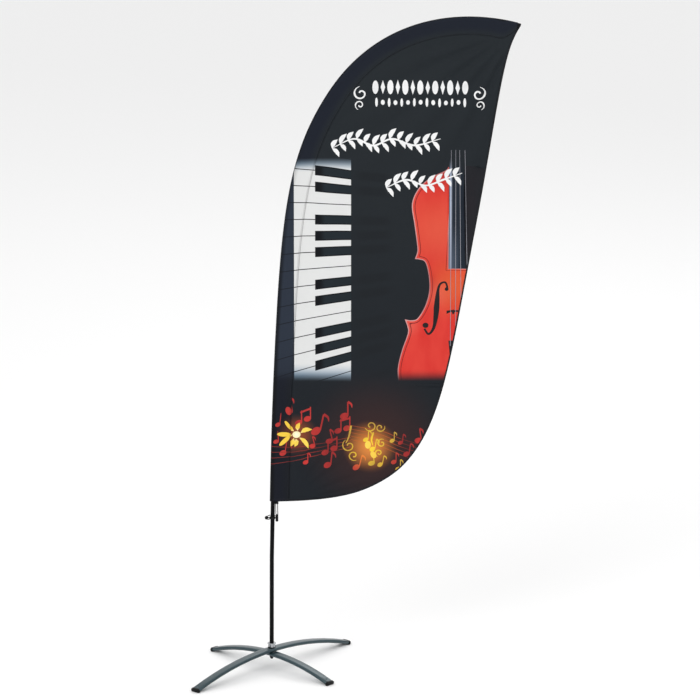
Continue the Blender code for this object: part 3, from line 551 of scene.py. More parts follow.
def printed_ground(name, tone=None, seam_map=None):
    """The print's ground; with a seam map it is the sleeve's, with its seam, hem, printed marks and a line
    of painted shade along the seam's crease.
    """
    paint, flat = cloth_paint(name)
    u, v, _ = paint.split(flat)
    colour = ground_colour(paint, flat, u, v, tone)
    normal = weave(paint, flat)
    if seam_map:
        along, across, _ = paint.split(paint.map(seam_map))
        inner = paint.product(paint.step(across, 0.034, 0.002), 0.85)
        colour = paint.mix(inner, colour, ground_colour(paint, flat, u, v))
        low = paint.product(paint.step(v, 1.25, 0.95), 0.45)
        colour = paint.mix(low, colour, (0.0030, 0.0030, 0.0060))
        front = paint.product(paint.step(across, 0.050, 0.064), paint.step(v, 2.25, 1.3))
        front = paint.math("MAXIMUM", front, paint.step(across, 0.063, 0.068))
        colour = paint.over(colour, (0.0012, 0.0012, 0.0018), front, 0.75)
        colour = marked(paint, colour, flat)
        stitch = stitches(paint, along, across, 5 * MM)
        hem = stitches(paint, across, along, 9 * MM)
        stitch = paint.math("MAXIMUM", stitch, hem)
        colour = paint.over(colour, (0.05, 0.052, 0.058), stitch, 0.4)
        # Painted shade: a darker line, about 1 mm wide, where the sleeve folds into its seam with the panel.
        seam_crease_shade = paint.step(across, 1.2 * MM, 0.3 * MM)
        colour = paint.over(colour, (0.010, 0.010, 0.012), seam_crease_shade, 0.45)
        normal = paint.bump(stitch, 0.0004, 0.8, normal)
    return paint.done(colour, None, normal)


def printed_shade(name, edge, centre, spots=()):
    """A printed colour that drifts from one tone to another, with soft spots of a third."""
    paint, flat = cloth_paint(name)
    cloud = paint.noise(paint.stretched(flat, (1, 0.35, 1)), 11, 3)
    colour = paint.mix(paint.step(cloud, 0.3, 0.7), edge, centre)
    for place, radius, strength, tone in spots:
        near = radial(paint, flat, place, 0.0, radius)
        colour = paint.over(colour, tone, near, strength)
    return paint, flat, colour


def varnish():
    """The violin's red varnish: orange towards the middle, dark at the waist, fading out below."""
    spots = (
        ((0.665, 1.45), 0.15, 0.75, (0.68, 0.115, 0.035)),
        ((0.600, 1.66), 0.19, 0.7, (0.68, 0.095, 0.050)),
        ((0.600, 1.42), 0.07, 0.35, (0.72, 0.16, 0.11)),
        ((0.545, 1.46), 0.08, 0.6, (0.34, 0.02, 0.02)),
        ((0.500, 1.30), 0.05, 0.4, (0.72, 0.15, 0.11)),
        ((0.62, 1.88), 0.10, 0.5, (0.20, 0.015, 0.015)),
    )
    red = (0.60, 0.028, 0.022)
    paint, flat, colour = printed_shade("violin_varnish", red, (0.67, 0.050, 0.036), spots)
    _, v, _ = paint.split(flat)
    grain = paint.wave(flat, 130, "X")
    colour = paint.over(colour, (0.35, 0.02, 0.02), grain, 0.06)
    colour = paint.mix(paint.step(v, *VIOLIN_FADE), colour, night(paint, flat, v))
    return paint.done(colour, None, weave(paint, flat))


def fading(name, colour, darker):
    """A printed tone that goes into the ground below, as the violin does."""
    paint, flat, shade = printed_shade(name, darker, colour)
    _, v, _ = paint.split(flat)
    shade = paint.mix(paint.step(v, *VIOLIN_FADE), shade, night(paint, flat, v))
    return paint.done(shade, None, weave(paint, flat))


def fingerboard_print():
    """Ebony with one bright edge and a dull light low on it, going into the ground at the top."""
    paint, flat, colour = printed_shade("fingerboard_print", (0.008, 0.012, 0.020), (0.013, 0.019, 0.030))
    u, v, _ = paint.split(flat)
    bright = paint.between(u, 0.6465, 0.6525, 0.004)
    colour = paint.over(colour, (0.46, 0.54, 0.70), bright, 0.95)
    low = paint.step(v, 1.70, 1.53)
    side = paint.step(u, 0.690, 0.660)
    colour = paint.mix(paint.product(low, side, 0.45), colour, (0.10, 0.13, 0.18))
    colour = paint.mix(paint.step(v, 1.84, 1.925), colour, GROUND_HIGH)
    return paint.done(colour, None, weave(paint, flat))


def plain_print(name, colour, other, spots=()):
    """A printed tone that drifts to another, with soft spots."""
    paint, flat, shade = printed_shade(name, other, colour, spots)
    return paint.done(shade, None, weave(paint, flat))


def moulded(name, colour, roughness, grain=260, bump=0.00006, **fixed):
    """Plastic or rubber: fine grain in the bump and a slight drift in colour and gloss."""
    paint = Paint(name, roughness, **fixed)
    place = paint.place()
    fine = paint.noise(place, grain, 4)
    broad = paint.noise(place, 14, 3)
    rough = paint.math("ADD", paint.product(broad, 0.16), roughness - 0.08)
    light = tuple(c * 1.35 + 0.002 for c in colour)
    return paint.done(paint.over(colour, light, broad, 0.7), rough, paint.bump(fine, bump, 0.5))


def leg_paint():
    """Dark slate powder paint under a thin clear coat, with fine flakes, a little rubbed."""
    tint = (0.72, 0.93, 1.0, 1.0)
    paint = Paint("slate_leg_paint", 0.34, Specular_IOR_Level=0.62, Specular_Tint=tint)
    paint.shader.inputs["Coat Weight"].default_value = 0.15
    paint.shader.inputs["Coat Roughness"].default_value = 0.2
    place = paint.place()
    flakes = paint.noise(place, 1500, 2)
    broad = paint.noise(place, 9, 3)
    colour = paint.over((0.010, 0.024, 0.030), (0.020, 0.038, 0.047), broad, 0.8)
    colour = paint.mix(paint.step(flakes, 0.58, 0.70), colour, (0.075, 0.105, 0.120))
    scuffs = paint.noise(paint.stretched(place, (60, 60, 900)), 1.0, 3)
    rubbed = paint.step(scuffs, 0.66, 0.74)
    colour = paint.over(colour, (0.10, 0.13, 0.14), rubbed, 0.3)
    rough = paint.math("ADD", paint.product(flakes, 0.14), 0.26)
    return paint.done(colour, rough, paint.bump(paint.noise(place, 620, 3), 0.00005, 0.6))


def metal(name, colour, roughness, brushing=(1, 1, 1), strength=0.3):
    """Plated or polished steel with fine brushing."""
    paint = Paint(name, roughness, 1.0)
    place = paint.place()
    marks = paint.noise(paint.stretched(place, brushing), 420, 4)
    broad = paint.noise(place, 30, 3)
    dim = tuple(c * 0.8 for c in colour)
    rough = paint.math("ADD", paint.product(marks, 0.12), roughness - 0.05)
    return paint.done(paint.mix(broad, dim, colour), rough, paint.bump(marks, 0.00002, strength))


def fibreglass():
    """Black glass-fibre tube: fine fibres along it, a satin finish and faint wrapping bands."""
    paint = Paint("black_fibreglass", 0.30, 0.0, Specular_IOR_Level=0.07)
    place = paint.place()
    fibres = paint.noise(paint.stretched(place, (1, 1, 0.03)), 1900, 3)
    bands = paint.wave(place, 26, "Z")
    colour = paint.mix(paint.step(fibres, 0.45, 0.75), (0.0020, 0.0022, 0.0028), (0.0060, 0.0064, 0.0075))
    rough = paint.math("ADD", paint.product(bands, 0.08), 0.26)
    normal = paint.bump(fibres, 0.00003, 0.5, paint.bump(bands, 0.00005, 0.35))
    return paint.done(colour, rough, normal)


def woven_tape(name, colour, pitch, stitched=()):
    """Webbing or binding tape: a ribbed weave on its own map with a painted highlight along the ribs'
    crests, stitched at some distances across.
    """
    paint = Paint(name, 0.8, 0.0, Specular_IOR_Level=0.15, Sheen_Weight=0.05)
    flat = paint.map()
    u, v, _ = paint.split(flat)
    half = pitch * MM / 2
    ribs = paint.math("PINGPONG", paint.math("ADD", u, paint.product(v, 0.5)), half)
    ribs = paint.math("DIVIDE", ribs, half)
    threads = paint.math("DIVIDE", paint.math("PINGPONG", v, half), half)
    cloud = paint.noise(flat, 55, 3)
    light = tuple(c * 1.9 + 0.001 for c in colour)
    # Painted highlight: each rib is lighter along its crest, where the bump stands highest.
    shade = paint.over(colour, light, ribs, 0.5)
    shade = paint.over(shade, tuple(c * 1.5 for c in colour), cloud, 0.4)
    normal = paint.bump(paint.math("ADD", ribs, threads), 0.0001, 0.6)
    for line in stitched:
        thread = stitches(paint, u, v, line, 0.45 * MM, 1.7 * MM, 0.4 * MM)
        shade = paint.over(shade, (0.045, 0.047, 0.052), thread, 0.8)
        normal = paint.bump(thread, 0.0003, 0.8, normal)
    return paint.done(shade, None, normal)


def braid():
    """Elastic cord's cover: strands that cross round it, with painted shade darkening the grooves between
    them.
    """
    paint = Paint("braided_elastic", 0.62, 0.0, Specular_IOR_Level=0.2, Sheen_Weight=0.03)
    along, around, _ = paint.split(paint.map())
    pitch = 1.1 * MM
    one = paint.math("PINGPONG", paint.math("ADD", along, around), pitch)
    two = paint.math("PINGPONG", paint.math("SUBTRACT", along, around), pitch)
    strands = paint.math("DIVIDE", paint.math("MINIMUM", one, two), pitch)
    # Painted shade: the colour darkens where the strands dip into their grooves, as the bump does.
    colour = paint.mix(strands, (0.0025, 0.0025, 0.003), (0.012, 0.012, 0.014))
    return paint.done(colour, None, paint.bump(strands, 0.00018, 0.8))


# ---------------------------------------------------------------- camera, floor and light

CAMERA_TO = Vector((-0.0176, 0, 1.209))
CAMERA_AWAY = 25.0
CAMERA_RISE = math.radians(15.5)
VIEW_WIDTH = 2.535
CAMERA_FROM = CAMERA_TO + CAMERA_AWAY * Vector((0, -math.cos(CAMERA_RISE), math.sin(CAMERA_RISE)))

camera_data = bpy.data.cameras.new("camera")
camera = bpy.data.objects.new("camera", camera_data)
bpy.context.scene.collection.objects.link(camera)
camera.location = CAMERA_FROM
camera.rotation_euler = (CAMERA_TO - CAMERA_FROM).to_track_quat("-Z", "Y").to_euler()
camera_data.sensor_width = 36
camera_data.lens = camera_data.sensor_width * (CAMERA_TO - CAMERA_FROM).length / VIEW_WIDTH
camera_data.clip_end = 200
bpy.context.scene.camera = camera
bpy.context.scene.view_settings.view_transform = "Standard"


def add_light(name, location, target, size, power):
    data = bpy.data.lights.new(name, "AREA")
    data.shape = "RECTANGLE"
    data.size, data.size_y = size
    data.energy = power
    light = bpy.data.objects.new(name, data)
    bpy.context.scene.collection.objects.link(light)
    light.location = location
    light.rotation_euler = (Vector(target) - Vector(location)).to_track_quat("-Z", "Y").to_euler()


add_light("key", (-3.2, -5.5, 5.2), (0, 0, 1.2), (3.2, 3.2), 150)
add_light("fill", (4.5, -5.0, 3.0), (0, 0, 1.0), (3.0, 3.0), 45)
add_light("rim", (1.5, 5.0, 5.0), (0, 0, 1.2), (4.0, 2.0), 60)


def light_the_room():
    """A pale room, brightest above and in front, with darker sides for the metal to show."""
    world = bpy.data.worlds.new("room")
    world.use_nodes = True
    bpy.context.scene.world = world
    nodes = Nodes(world.node_tree)
    back = nodes.tree.nodes["Background"]
    back.inputs["Color"].default_value = (1.0, 1.0, 1.0, 1.0)
    x, _, z = nodes.split(nodes.node("ShaderNodeTexCoord").outputs["Generated"])
    aside = nodes.step(nodes.math("ABSOLUTE", x), 0.30, 0.62)
    dimmed = nodes.math("SUBTRACT", 1.0, nodes.product(aside, 0.75))
    nodes.put(back.inputs["Strength"], nodes.math("MAXIMUM", dimmed, nodes.step(z, 0.15, 0.55)))


light_the_room()


def lay_floor():
    bm = bmesh.new()
    bmesh.ops.create_grid(bm, x_segments=1, y_segments=1, size=40)
    mesh = bpy.data.meshes.new("floor")
    bm.to_mesh(mesh)
    bm.free()
    mesh.materials.append(Paint("pale_floor", 0.9, Specular_IOR_Level=0.1).done((0.92, 0.92, 0.92)))
    floor = bpy.data.objects.new("floor", mesh)
    bpy.context.scene.collection.objects.link(floor)


lay_floor()

# ---------------------------------------------------------------- the tension cord


def frames_along(path):
    """A point, and two directions across, at each sample of a path; they turn as little as they can."""
    path = [Vector(p) for p in path]
    out = []
    side = None
    for i, point in enumerate(path):
        ahead = (path[min(i + 1, len(path) - 1)] - path[max(i - 1, 0)]).normalized()
        if side is None:
            side = ahead.orthogonal()
        side = (side - ahead * side.dot(ahead)).normalized()
        out.append((point, side, ahead.cross(side)))
    return out


def tube_along(path, radius, around):
    """A closed tube along a path, with a map of metres along and around it."""
    rings = frames_along(path)
    step = (Vector(path[1]) - Vector(path[0])).length
    girth = 2 * math.pi * radius

    def place(i, j):
        point, side, other = rings[i]
        turn = 2 * math.pi * j / around
        return point + radius * (math.cos(turn) * side + math.sin(turn) * other)

    def unrolled(i, j):
        return (i * step, j * girth / around)

    return closed(strip_grid(len(rings) - 1, around, place, cloth=unrolled))


lock_middle = middle("cord_lock_button")
tab_low, tab_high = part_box("corner_tab")
HOOK_HEIGHT = 574.5
LOCK_OUT = 16.5
PEG_OUT = 21.5
CORD_RADIUS = 1.5 * MM
hook = Vector((lock_middle.x - LOCK_OUT * MM, 0, HOOK_HEIGHT * MM))


def cord_route():
    """From the corner tab down through the lock, round the clip and over its peg, and back to the tab."""
    strand = 1.8
    nose = 5.1
    back = 12.4
    over = 5.6
    turned = nose * math.sqrt(0.5)
    tab_x = ((tab_low.x + tab_high.x) / 2 - hook.x) / MM
    tab_z = tab_low.z / MM - HOOK_HEIGHT
    turn = [
        (LOCK_OUT, -5, strand),
        (LOCK_OUT, 0, strand),
        (LOCK_OUT, 5, strand),
        (LOCK_OUT - 2, 9.5, strand + 0.8),
        (back * 0.72, back, over - 1),
        (back * 0.12, back, over + 0.4),
        (-back * 0.5, back * 0.82, over + 1.4),
        (-back * 0.94, back * 0.45, over + 1.6),
        (-PEG_OUT + 5.5, 1.2, nose + 1.5),
        (-PEG_OUT, 0, nose),
        (-PEG_OUT - turned, 0, turned),
    ]
    down = [
        (tab_x - 3.4, 0, tab_z + 1),
        (tab_x - 3.5, -1.2, tab_z - 6),
        (tab_x - 3.2, -5.5, 26),
        (LOCK_OUT - 3, -10.2, 14.5),
        (LOCK_OUT - 1.2, -11.6, 7.2),
        (LOCK_OUT, -9.2, 2.8),
    ]
    up = [
        (LOCK_OUT + 0.2, -9.8, -1.6),
        (LOCK_OUT + 1.4, -14.2, 1.2),
        (LOCK_OUT + 3, -15.4, 8),
        (LOCK_OUT + 3.6, -12, 17),
        (tab_x + 3.8, -6, 27),
        (tab_x + 3.5, -1.2, tab_z - 6),
        (tab_x + 3.4, 0, tab_z + 1),
    ]
    back_again = [(x, y, -z) for x, y, z in reversed(turn)]
    route = [*down, *turn, (-PEG_OUT - nose, 0, 0), *back_again, *up]
    return smooth_curve([hook + Vector(p) * MM for p in route], 1.5 * MM)


def make_cord():
    route = [tuple(float(c) for c in p) for p in cord_route()]
    bm = tube_along(route, CORD_RADIUS, 12)
    piece = add_piece("tension_cord_braid", bm, [braid()], "pole", "elastic", "tension_cord")
    return piece


cord = make_cord()

# ---------------------------------------------------------------- the print's drawn outlines


def ellipse(u, v, long, wide, tilt, count=14):
    """An oval, or with four points a lozenge, turned by tilt degrees."""
    a = math.radians(tilt)
    out = []
    for i in range(count):
        t = 2 * math.pi * i / count
        x, y = long * math.cos(t), wide * math.sin(t)
        out.append((u + x * math.cos(a) - y * math.sin(a), v + x * math.sin(a) + y * math.cos(a)))
    return out


def ribbon(points, widths, step=4 * MM):
    """The outline of a brush stroke along points, as wide as widths says at even stations."""
    line = smooth_curve(points, step)
    width = np.interp(np.linspace(0, 1, len(line)), np.linspace(0, 1, len(widths)), widths)
    ahead = np.gradient(line, axis=0)
    ahead /= np.linalg.norm(ahead, axis=1)[:, None] + 1e-9
    across = np.column_stack([-ahead[:, 1], ahead[:, 0]])
    one = line + across * width[:, None] / 2
    two = line - across * width[:, None] / 2
    return [tuple(p) for p in [*one, *two[::-1]]]


def leaf(u, v, length, wide, angle):
    """A leaf that grows from (u, v)."""
    a = math.radians(angle)
    end = (u + length * math.cos(a), v + length * math.sin(a))
    bend = (u + length * 0.5 * math.cos(a + 0.25), v + length * 0.5 * math.sin(a + 0.25))
    return ribbon([(u, v), bend, end], [1 * MM, wide, wide * 0.9, 1 * MM], 5 * MM)


def curl(u, v, size, turn, mirrored=1, wide=5 * MM):
    """A scroll that winds in to (u, v)."""
    points = []
    for i in range(15):
        t = i / 14
        r = size * (1 - 0.78 * t)
        a = math.radians(turn) + mirrored * 2 * math.pi * 1.15 * t
        points.append((u + r * math.cos(a), v + r * math.sin(a)))
    return ribbon(points, [1.5 * MM, wide, wide * 0.8, wide * 0.9], 3.5 * MM)


def music_note(u, v, size, lean=0.0, tail=True):
    """A note's head, stem and tail."""
    size *= 1.12
    head = ellipse(u, v, size * 0.36, size * 0.27, 25 + lean, 12)
    a = math.radians(90 - lean)
    foot = (u + size * 0.29, v + size * 0.05)
    top = (foot[0] + size * 1.15 * math.cos(a), foot[1] + size * 1.15 * math.sin(a))
    shapes = [head, ribbon([foot, top], [size * 0.11, size * 0.11], 8 * MM)]
    if tail:
        low = (top[0] + size * 0.34, top[1] - size * 0.50)
        bend = (top[0] + size * 0.28, top[1] - size * 0.20)
        shapes.append(ribbon([top, bend, low], [size * 0.20, size * 0.16, size * 0.04], 4 * MM))
    return shapes


def beamed_notes(u, v, size, rise):
    """Two notes under one beam."""
    far = (u + size * 0.95, v + rise)
    shapes = [*music_note(u, v, size, 0, False), *music_note(*far, size, 0, False)]
    left = (u + size * 0.20, v + size * 1.12)
    right = (far[0] + size * 0.28, far[1] + size * 1.12)
    return [*shapes, ribbon([left, right], [size * 0.20, size * 0.20], 9 * MM)]


def moved_in(outline, distance):
    """The closed outline at a distance inside another."""
    outline = np.array(outline, float)
    ahead = np.roll(outline, -1, axis=0) - np.roll(outline, 1, axis=0)
    ahead /= np.linalg.norm(ahead, axis=1)[:, None] + 1e-9
    area = np.sum(outline[:, 0] * np.roll(outline[:, 1], -1) - np.roll(outline[:, 0], -1) * outline[:, 1])
    inward = np.column_stack([-ahead[:, 1], ahead[:, 0]]) * (1 if area > 0 else -1)
    moved = outline + inward * distance
    room = np.array([np.linalg.norm(outline - p, axis=1).min() for p in moved])
    return [tuple(p) for p in moved[room > distance * 0.96]]


def violin_outline():
    """The violin's left side, closed off beyond the flag's edge."""
    upper = [(0.643, 1.893), (0.629, 1.878), (0.575, 1.852), (0.532, 1.811), (0.510, 1.754), (0.519, 1.679)]
    upper += [(0.528, 1.611), (0.530, 1.580), (0.521, 1.551)]
    waist = [(0.521, 1.551), (0.540, 1.549), (0.559, 1.538), (0.571, 1.489), (0.573, 1.433), (0.559, 1.377)]
    waist += [(0.532, 1.330), (0.509, 1.322), (0.485, 1.326)]
    lower = [(0.485, 1.326), (0.494, 1.300), (0.496, 1.273), (0.474, 1.207), (0.460, 1.142), (0.463, 1.078)]
    left = [tuple(p) for part in (upper, waist, lower) for p in smooth_curve(part, 5 * MM)[:-1]]
    right = [(0.465, 1.070), (0.90, 1.070), (0.90, 1.514), (0.643, 1.514)]
    return left + right


def sound_hole():
    """The long curved opening and the dots at its ends."""
    path = [(0.639, 1.442), (0.632, 1.462), (0.616, 1.460), (0.606, 1.440), (0.601, 1.386)]
    path += [(0.597, 1.334), (0.589, 1.292), (0.571, 1.270), (0.556, 1.290)]
    stroke = ribbon(path, [width * MM for width in (7, 7, 10, 17, 21, 18, 12, 8, 7)])
    return [stroke, ellipse(0.636, 1.438, 7 * MM, 7 * MM, 0), ellipse(0.560, 1.303, 11 * MM, 10 * MM, 0)]


def spray(stem, pitch):
    """A leafy spray: a stem with a pair of leaves at each step."""
    shapes = [ribbon(stem, [2 * MM, 7 * MM, 6 * MM, 7 * MM, 2 * MM])]
    joints = smooth_curve(stem, pitch)
    for k, (u, v) in enumerate(joints[:-1]):
        shapes.append(leaf(u, v, (46 if k % 2 else 38) * MM, 17 * MM, 58))
        shapes.append(leaf(u, v, (34 if k % 2 else 42) * MM, 15 * MM, -52))
    return shapes


def white_ornaments():
    """Generic trimmings: two rows of beads and bars between scrolls, and two leafy sprays."""
    shapes = [curl(0.326, 2.163, 27 * MM, 100, 1, 7 * MM), curl(0.748, 2.163, 27 * MM, 80, -1, 7 * MM)]
    shapes += [curl(0.322, 2.120, 18 * MM, 250, -1), curl(0.752, 2.120, 18 * MM, 290, 1)]
    for i in range(13):
        u = 0.378 + i * 0.0268
        wide = (8 if i % 2 else 11) * MM
        shapes.append(ellipse(u, 2.186, 26 * MM, wide, 90, 4 if i % 2 else 16))
    for i in range(15):
        u = 0.382 + i * 0.0226
        shapes.append(ellipse(u, 2.131, (9 if i % 2 else 16) * MM, (7 if i % 2 else 5) * MM, 90, 12))
    upper = [(0.222, 1.962), (0.300, 1.996), (0.370, 1.972), (0.440, 1.998), (0.520, 1.972), (0.612, 1.998)]
    lower = [(0.417, 1.816), (0.490, 1.846), (0.560, 1.824), (0.625, 1.846), (0.690, 1.872)]
    return shapes + spray(upper, 31 * MM) + spray(lower, 33 * MM)


def red_notes():
    """Single notes and beamed pairs along the staff."""
    shapes = []
    notes = [(0.064, 0.977, 40, -10), (0.025, 0.930, 30, 8), (0.163, 0.903, 48, 12), (0.266, 0.962, 40, 0)]
    notes += [(0.212, 0.866, 34, -12), (0.205, 0.776, 36, 6), (0.043, 0.812, 34, 10), (0.020, 0.862, 26, -6)]
    notes += [(0.309, 0.768, 34, 14), (0.125, 0.784, 26, 0), (0.535, 0.868, 34, -8), (0.492, 0.816, 30, 8)]
    notes += [(0.446, 0.786, 26, 0), (0.150, 0.846, 28, -14), (0.470, 0.860, 24, 5)]
    for u, v, size, lean in notes:
        shapes += music_note(u, v, size * MM, lean)
    shapes += beamed_notes(0.100, 0.935, 34 * MM, 14 * MM)
    shapes += beamed_notes(0.243, 0.905, 34 * MM, 10 * MM)
    shapes += beamed_notes(0.196, 0.822, 34 * MM, 16 * MM)
    return shapes


def gold_notes():
    """Scrolls, strokes and notes in the glow."""
    shapes = [curl(0.283, 0.850, 25 * MM, 120, 1), curl(0.300, 0.812, 20 * MM, 300, -1)]
    shapes += [curl(0.362, 0.925, 22 * MM, 200, 1), curl(0.396, 0.918, 18 * MM, 20, -1)]
    shapes += [curl(0.402, 0.858, 17 * MM, 60, 1), curl(0.392, 0.822, 15 * MM, 250, -1)]
    shapes.append(ribbon([(0.291, 0.925), (0.283, 0.885), (0.272, 0.860)], [7 * MM, 6 * MM, 3 * MM]))
    shapes.append(ribbon([(0.372, 0.900), (0.365, 0.872), (0.370, 0.850)], [6 * MM, 7 * MM, 3 * MM]))
    notes = [(0.440, 0.868, 24, 0), (0.368, 0.836, 28, 10), (0.365, 0.782, 32, -8)]
    notes += [(0.396, 0.776, 26, 10), (0.462, 0.760, 26, 0), (0.344, 0.872, 26, 4)]
    for u, v, size, lean in notes:
        shapes += music_note(u, v, size * MM, lean)
    return shapes


def burst_rays():
    """A star's heart and its pointed rays."""
    shapes = [ellipse(*BURST, 15 * MM, 13 * MM, 0)]
    for angle, length in ((20, 44), (75, 30), (125, 42), (185, 48), (235, 40), (262, 30), (310, 52)):
        a = math.radians(angle)
        u, v = BURST[0] + 16 * MM * math.cos(a), BURST[1] + 16 * MM * math.sin(a)
        shapes.append(leaf(u, v, length * MM, 16 * MM, angle))
    return shapes


def staff_lines():
    """Two runs of staff lines that wave across the flag's foot."""
    shapes = []
    for i in range(5):
        drop = i * 13 * MM
        line = [(0.290, 0.926 - drop), (0.400, 0.905 - 1.15 * drop), (0.480, 0.872 - 1.2 * drop)]
        shapes.append(ribbon([*line, (0.590, 0.838 - 1.3 * drop)], [1.6 * MM, 2.4 * MM, 2.0 * MM], 10 * MM))
    for i in range(4):
        lift = i * 17 * MM
        line = [(0.006, 0.782 + lift * 1.3), (0.080, 0.790 + lift), (0.180, 0.816 + lift * 0.8)]
        shapes.append(ribbon([*line, (0.290, 0.846 + lift * 0.7)], [1.6 * MM, 2.4 * MM, 1.6 * MM], 10 * MM))
    return shapes


def strings():
    """The violin's four strings, spreading a little downwards."""
    shapes = []
    for top, low in ((0.651, 0.650), (0.667, 0.669), (0.681, 0.690), (0.700, 0.716)):
        shapes.append(ribbon([(top, 1.955), (low, 1.225)], [1.2 * MM, 1.9 * MM], 20 * MM))
    return shapes


violin = violin_outline()
BRIDGE = [(0.636, 1.345), (0.652, 1.352), (0.700, 1.352), (0.700, 1.358), (0.652, 1.359), (0.636, 1.357)]
TAILPIECE = [(0.643, 1.245), (0.662, 1.245), (0.655, 1.190), (0.648, 1.190)]
FINGERBOARD = [(0.643, 1.930), (0.695, 1.930), (0.703, 1.514), (0.643, 1.514)]
SHOULDER = [(0.703, 1.514), (0.699, 1.900), (0.730, 1.896), (0.790, 1.880), (0.90, 1.850), (0.90, 1.514)]
PRINT = [  # each tone's shapes, in the order in which they are laid on
    ("rim", [violin]),
    ("varnish", [moved_in(violin, 3.6 * MM)]),
    ("purfling", [moved_in(violin, 10.0 * MM)]),
    ("varnish", [moved_in(violin, 12.6 * MM)]),
    ("dark", sound_hole()),
    ("board", [FINGERBOARD]),
    ("dark", [BRIDGE]),
    ("dark", [ellipse(0.660, 1.352, 5 * MM, 9 * MM, 0), ellipse(0.684, 1.352, 5 * MM, 9 * MM, 0)]),
    ("dark", [TAILPIECE]),
    ("shoulder", [SHOULDER]),
    ("string", strings()),
    ("staff", staff_lines()),
    ("red", red_notes()),
    ("gold", gold_notes()),
    ("glow", burst_rays()),
    ("glow", [ellipse(0.352, 0.852, 11 * MM, 15 * MM, 0), ellipse(0.372, 0.815, 10 * MM, 14 * MM, 30)]),
    ("white", white_ornaments()),
]
STAFF_LIGHT = [(GLOW, 0.14, 0.8, (0.7, 0.2, 0.03))]
RED_LIGHT = [(GLOW, 0.12, 0.9, (0.8, 0.3, 0.04))]
GOLD_LIGHT = [(GLOW, 0.09, 0.9, (0.90, 0.62, 0.04))]
BURST_LIGHT = [(BURST, 0.030, 1.0, (0.92, 0.90, 0.66))]


def print_materials():
    """One material for each tone of the print; the ground comes first."""
    return {
        "ground": printed_ground("printed_ground"),
        "rim": fading("print_pale_rim", (0.62, 0.30, 0.29), (0.42, 0.15, 0.15)),
        "varnish": varnish(),
        "purfling": fading("print_purfling", (0.12, 0.012, 0.014), (0.26, 0.020, 0.018)),
        "dark": plain_print("print_black", (0.010, 0.011, 0.013), (0.018, 0.014, 0.015)),
        "board": fingerboard_print(),
        "shoulder": plain_print("print_shoulder", (0.0145, 0.0125, 0.0165), (0.0110, 0.0120, 0.0155)),
        "string": plain_print("print_strings", (0.36, 0.36, 0.40), (0.22, 0.22, 0.26)),
        "staff": plain_print("print_staff", (0.26, 0.030, 0.024), (0.12, 0.018, 0.016), STAFF_LIGHT),
        "red": plain_print("print_red_notes", (0.55, 0.040, 0.034), (0.28, 0.022, 0.022), RED_LIGHT),
        "gold": plain_print("print_gold_notes", (0.68, 0.42, 0.035), (0.40, 0.24, 0.05), GOLD_LIGHT),
        "glow": plain_print("print_glow", (0.88, 0.66, 0.10), (0.82, 0.48, 0.04), BURST_LIGHT),
        "white": plain_print("print_white", (0.80, 0.80, 0.80), (0.76, 0.765, 0.77)),
    }


def inside(points, outline):
    """Which points are inside a closed outline."""
    a = np.array(outline, float)
    b = np.roll(a, -1, axis=0)
    x, y = points[:, 0][:, None], points[:, 1][:, None]
    crosses = (a[:, 1] > y) != (b[:, 1] > y)
    at = a[:, 0] + (y - a[:, 1]) * (b[:, 0] - a[:, 0]) / (b[:, 1] - a[:, 1] + 1e-12)
    return (np.sum(crosses & (x < at), axis=1) % 2).astype(bool)


# ---------------------------------------------------------------- the printed cloth

CLOTH = 0.5 * MM
UNDER = 3 * MM  # how far the panel runs in under its sleeve
PANEL_PITCH = 9 * MM
CLEAR_OF_BORDERS = 3.2 * MM


def grid_points(outline, pitch):
    """The points of a triangle grid that are inside an outline."""
    low, high = np.min(outline, axis=0), np.max(outline, axis=0)
    rows = []
    for k, z in enumerate(np.arange(low[1], high[1], pitch * math.sqrt(0.75))):
        x = np.arange(low[0] + (k % 2) * pitch / 2, high[0], pitch)
        rows.append(np.column_stack([x, np.full(len(x), z)]))
    points = np.vstack(rows)
    return points[inside(points, outline)]


def make_panel(materials):
    """The panel, cut along the print's outlines so that each tone has faces of its own."""
    across = leading - seam
    across /= np.linalg.norm(across, axis=1)[:, None]
    start = seam + across * UNDER
    corner = 0.6 * leading[-1] + 0.4 * seam[-1]
    outline = np.vstack([start, corner, trailing])
    loops = [[tuple(p) for p in outline]]
    for _, shapes in PRINT:
        for shape in shapes:
            loops.append([(u + hub.x, v) for u, v in shape])
    borders = [p for loop in loops for p in loop]
    edges = []
    for loop in loops:
        start = len(edges)
        edges += [(start + (k - 1) % len(loop), start + k) for k in range(len(loop))]
    free = grid_points(outline, PANEL_PITCH)
    free = free[nearest(free, borders) > CLEAR_OF_BORDERS]
    flat = [Vector((float(x), float(z))) for x, z in [*borders, *free]]
    made = geometry.delaunay_2d_cdt(flat, edges, [], 0, 1e-7, False)
    corners = np.array([tuple(p) for p in made[0]])
    triangles = np.array(made[2])
    centres = corners[triangles].mean(axis=1)
    kept = inside(centres, outline)
    triangles, centres = triangles[kept], centres[kept]
    names = list(materials)
    tone = np.zeros(len(triangles), int)
    drawn = centres - np.array([hub.x, 0])
    for name, shapes in PRINT:
        for shape in shapes:
            tone[inside(drawn, shape)] = names.index(name)
    depth = cloth_depth(corners)
    bm = bmesh.new()
    placed = [bm.verts.new((x, y, z)) for (x, z), y in zip(corners, depth)]
    for corner, which in zip(triangles, tone):
        face = bm.faces.new([placed[i] for i in corner])
        face.material_index = int(which)
    lay_map(bm, "cloth", lambda v: flag_uv(v.co.x, v.co.z))
    bmesh.ops.delete(bm, geom=[v for v in bm.verts if not v.link_faces], context="VERTS")
    bmesh.ops.recalc_face_normals(bm, faces=bm.faces)
    if sum(f.normal.y * f.calc_area() for f in bm.faces) > 0:
        bmesh.ops.reverse_faces(bm, faces=bm.faces)
    panel = add_piece("printed_panel", bm, materials.values(), "pole", "printed_cloth", "flag_panel")
    return solidify(panel, CLOTH)


FLAT_COLUMNS = 6
ROUND_COLUMNS = 16
FULL_STATION = 50  # a station where the sleeve has its full width


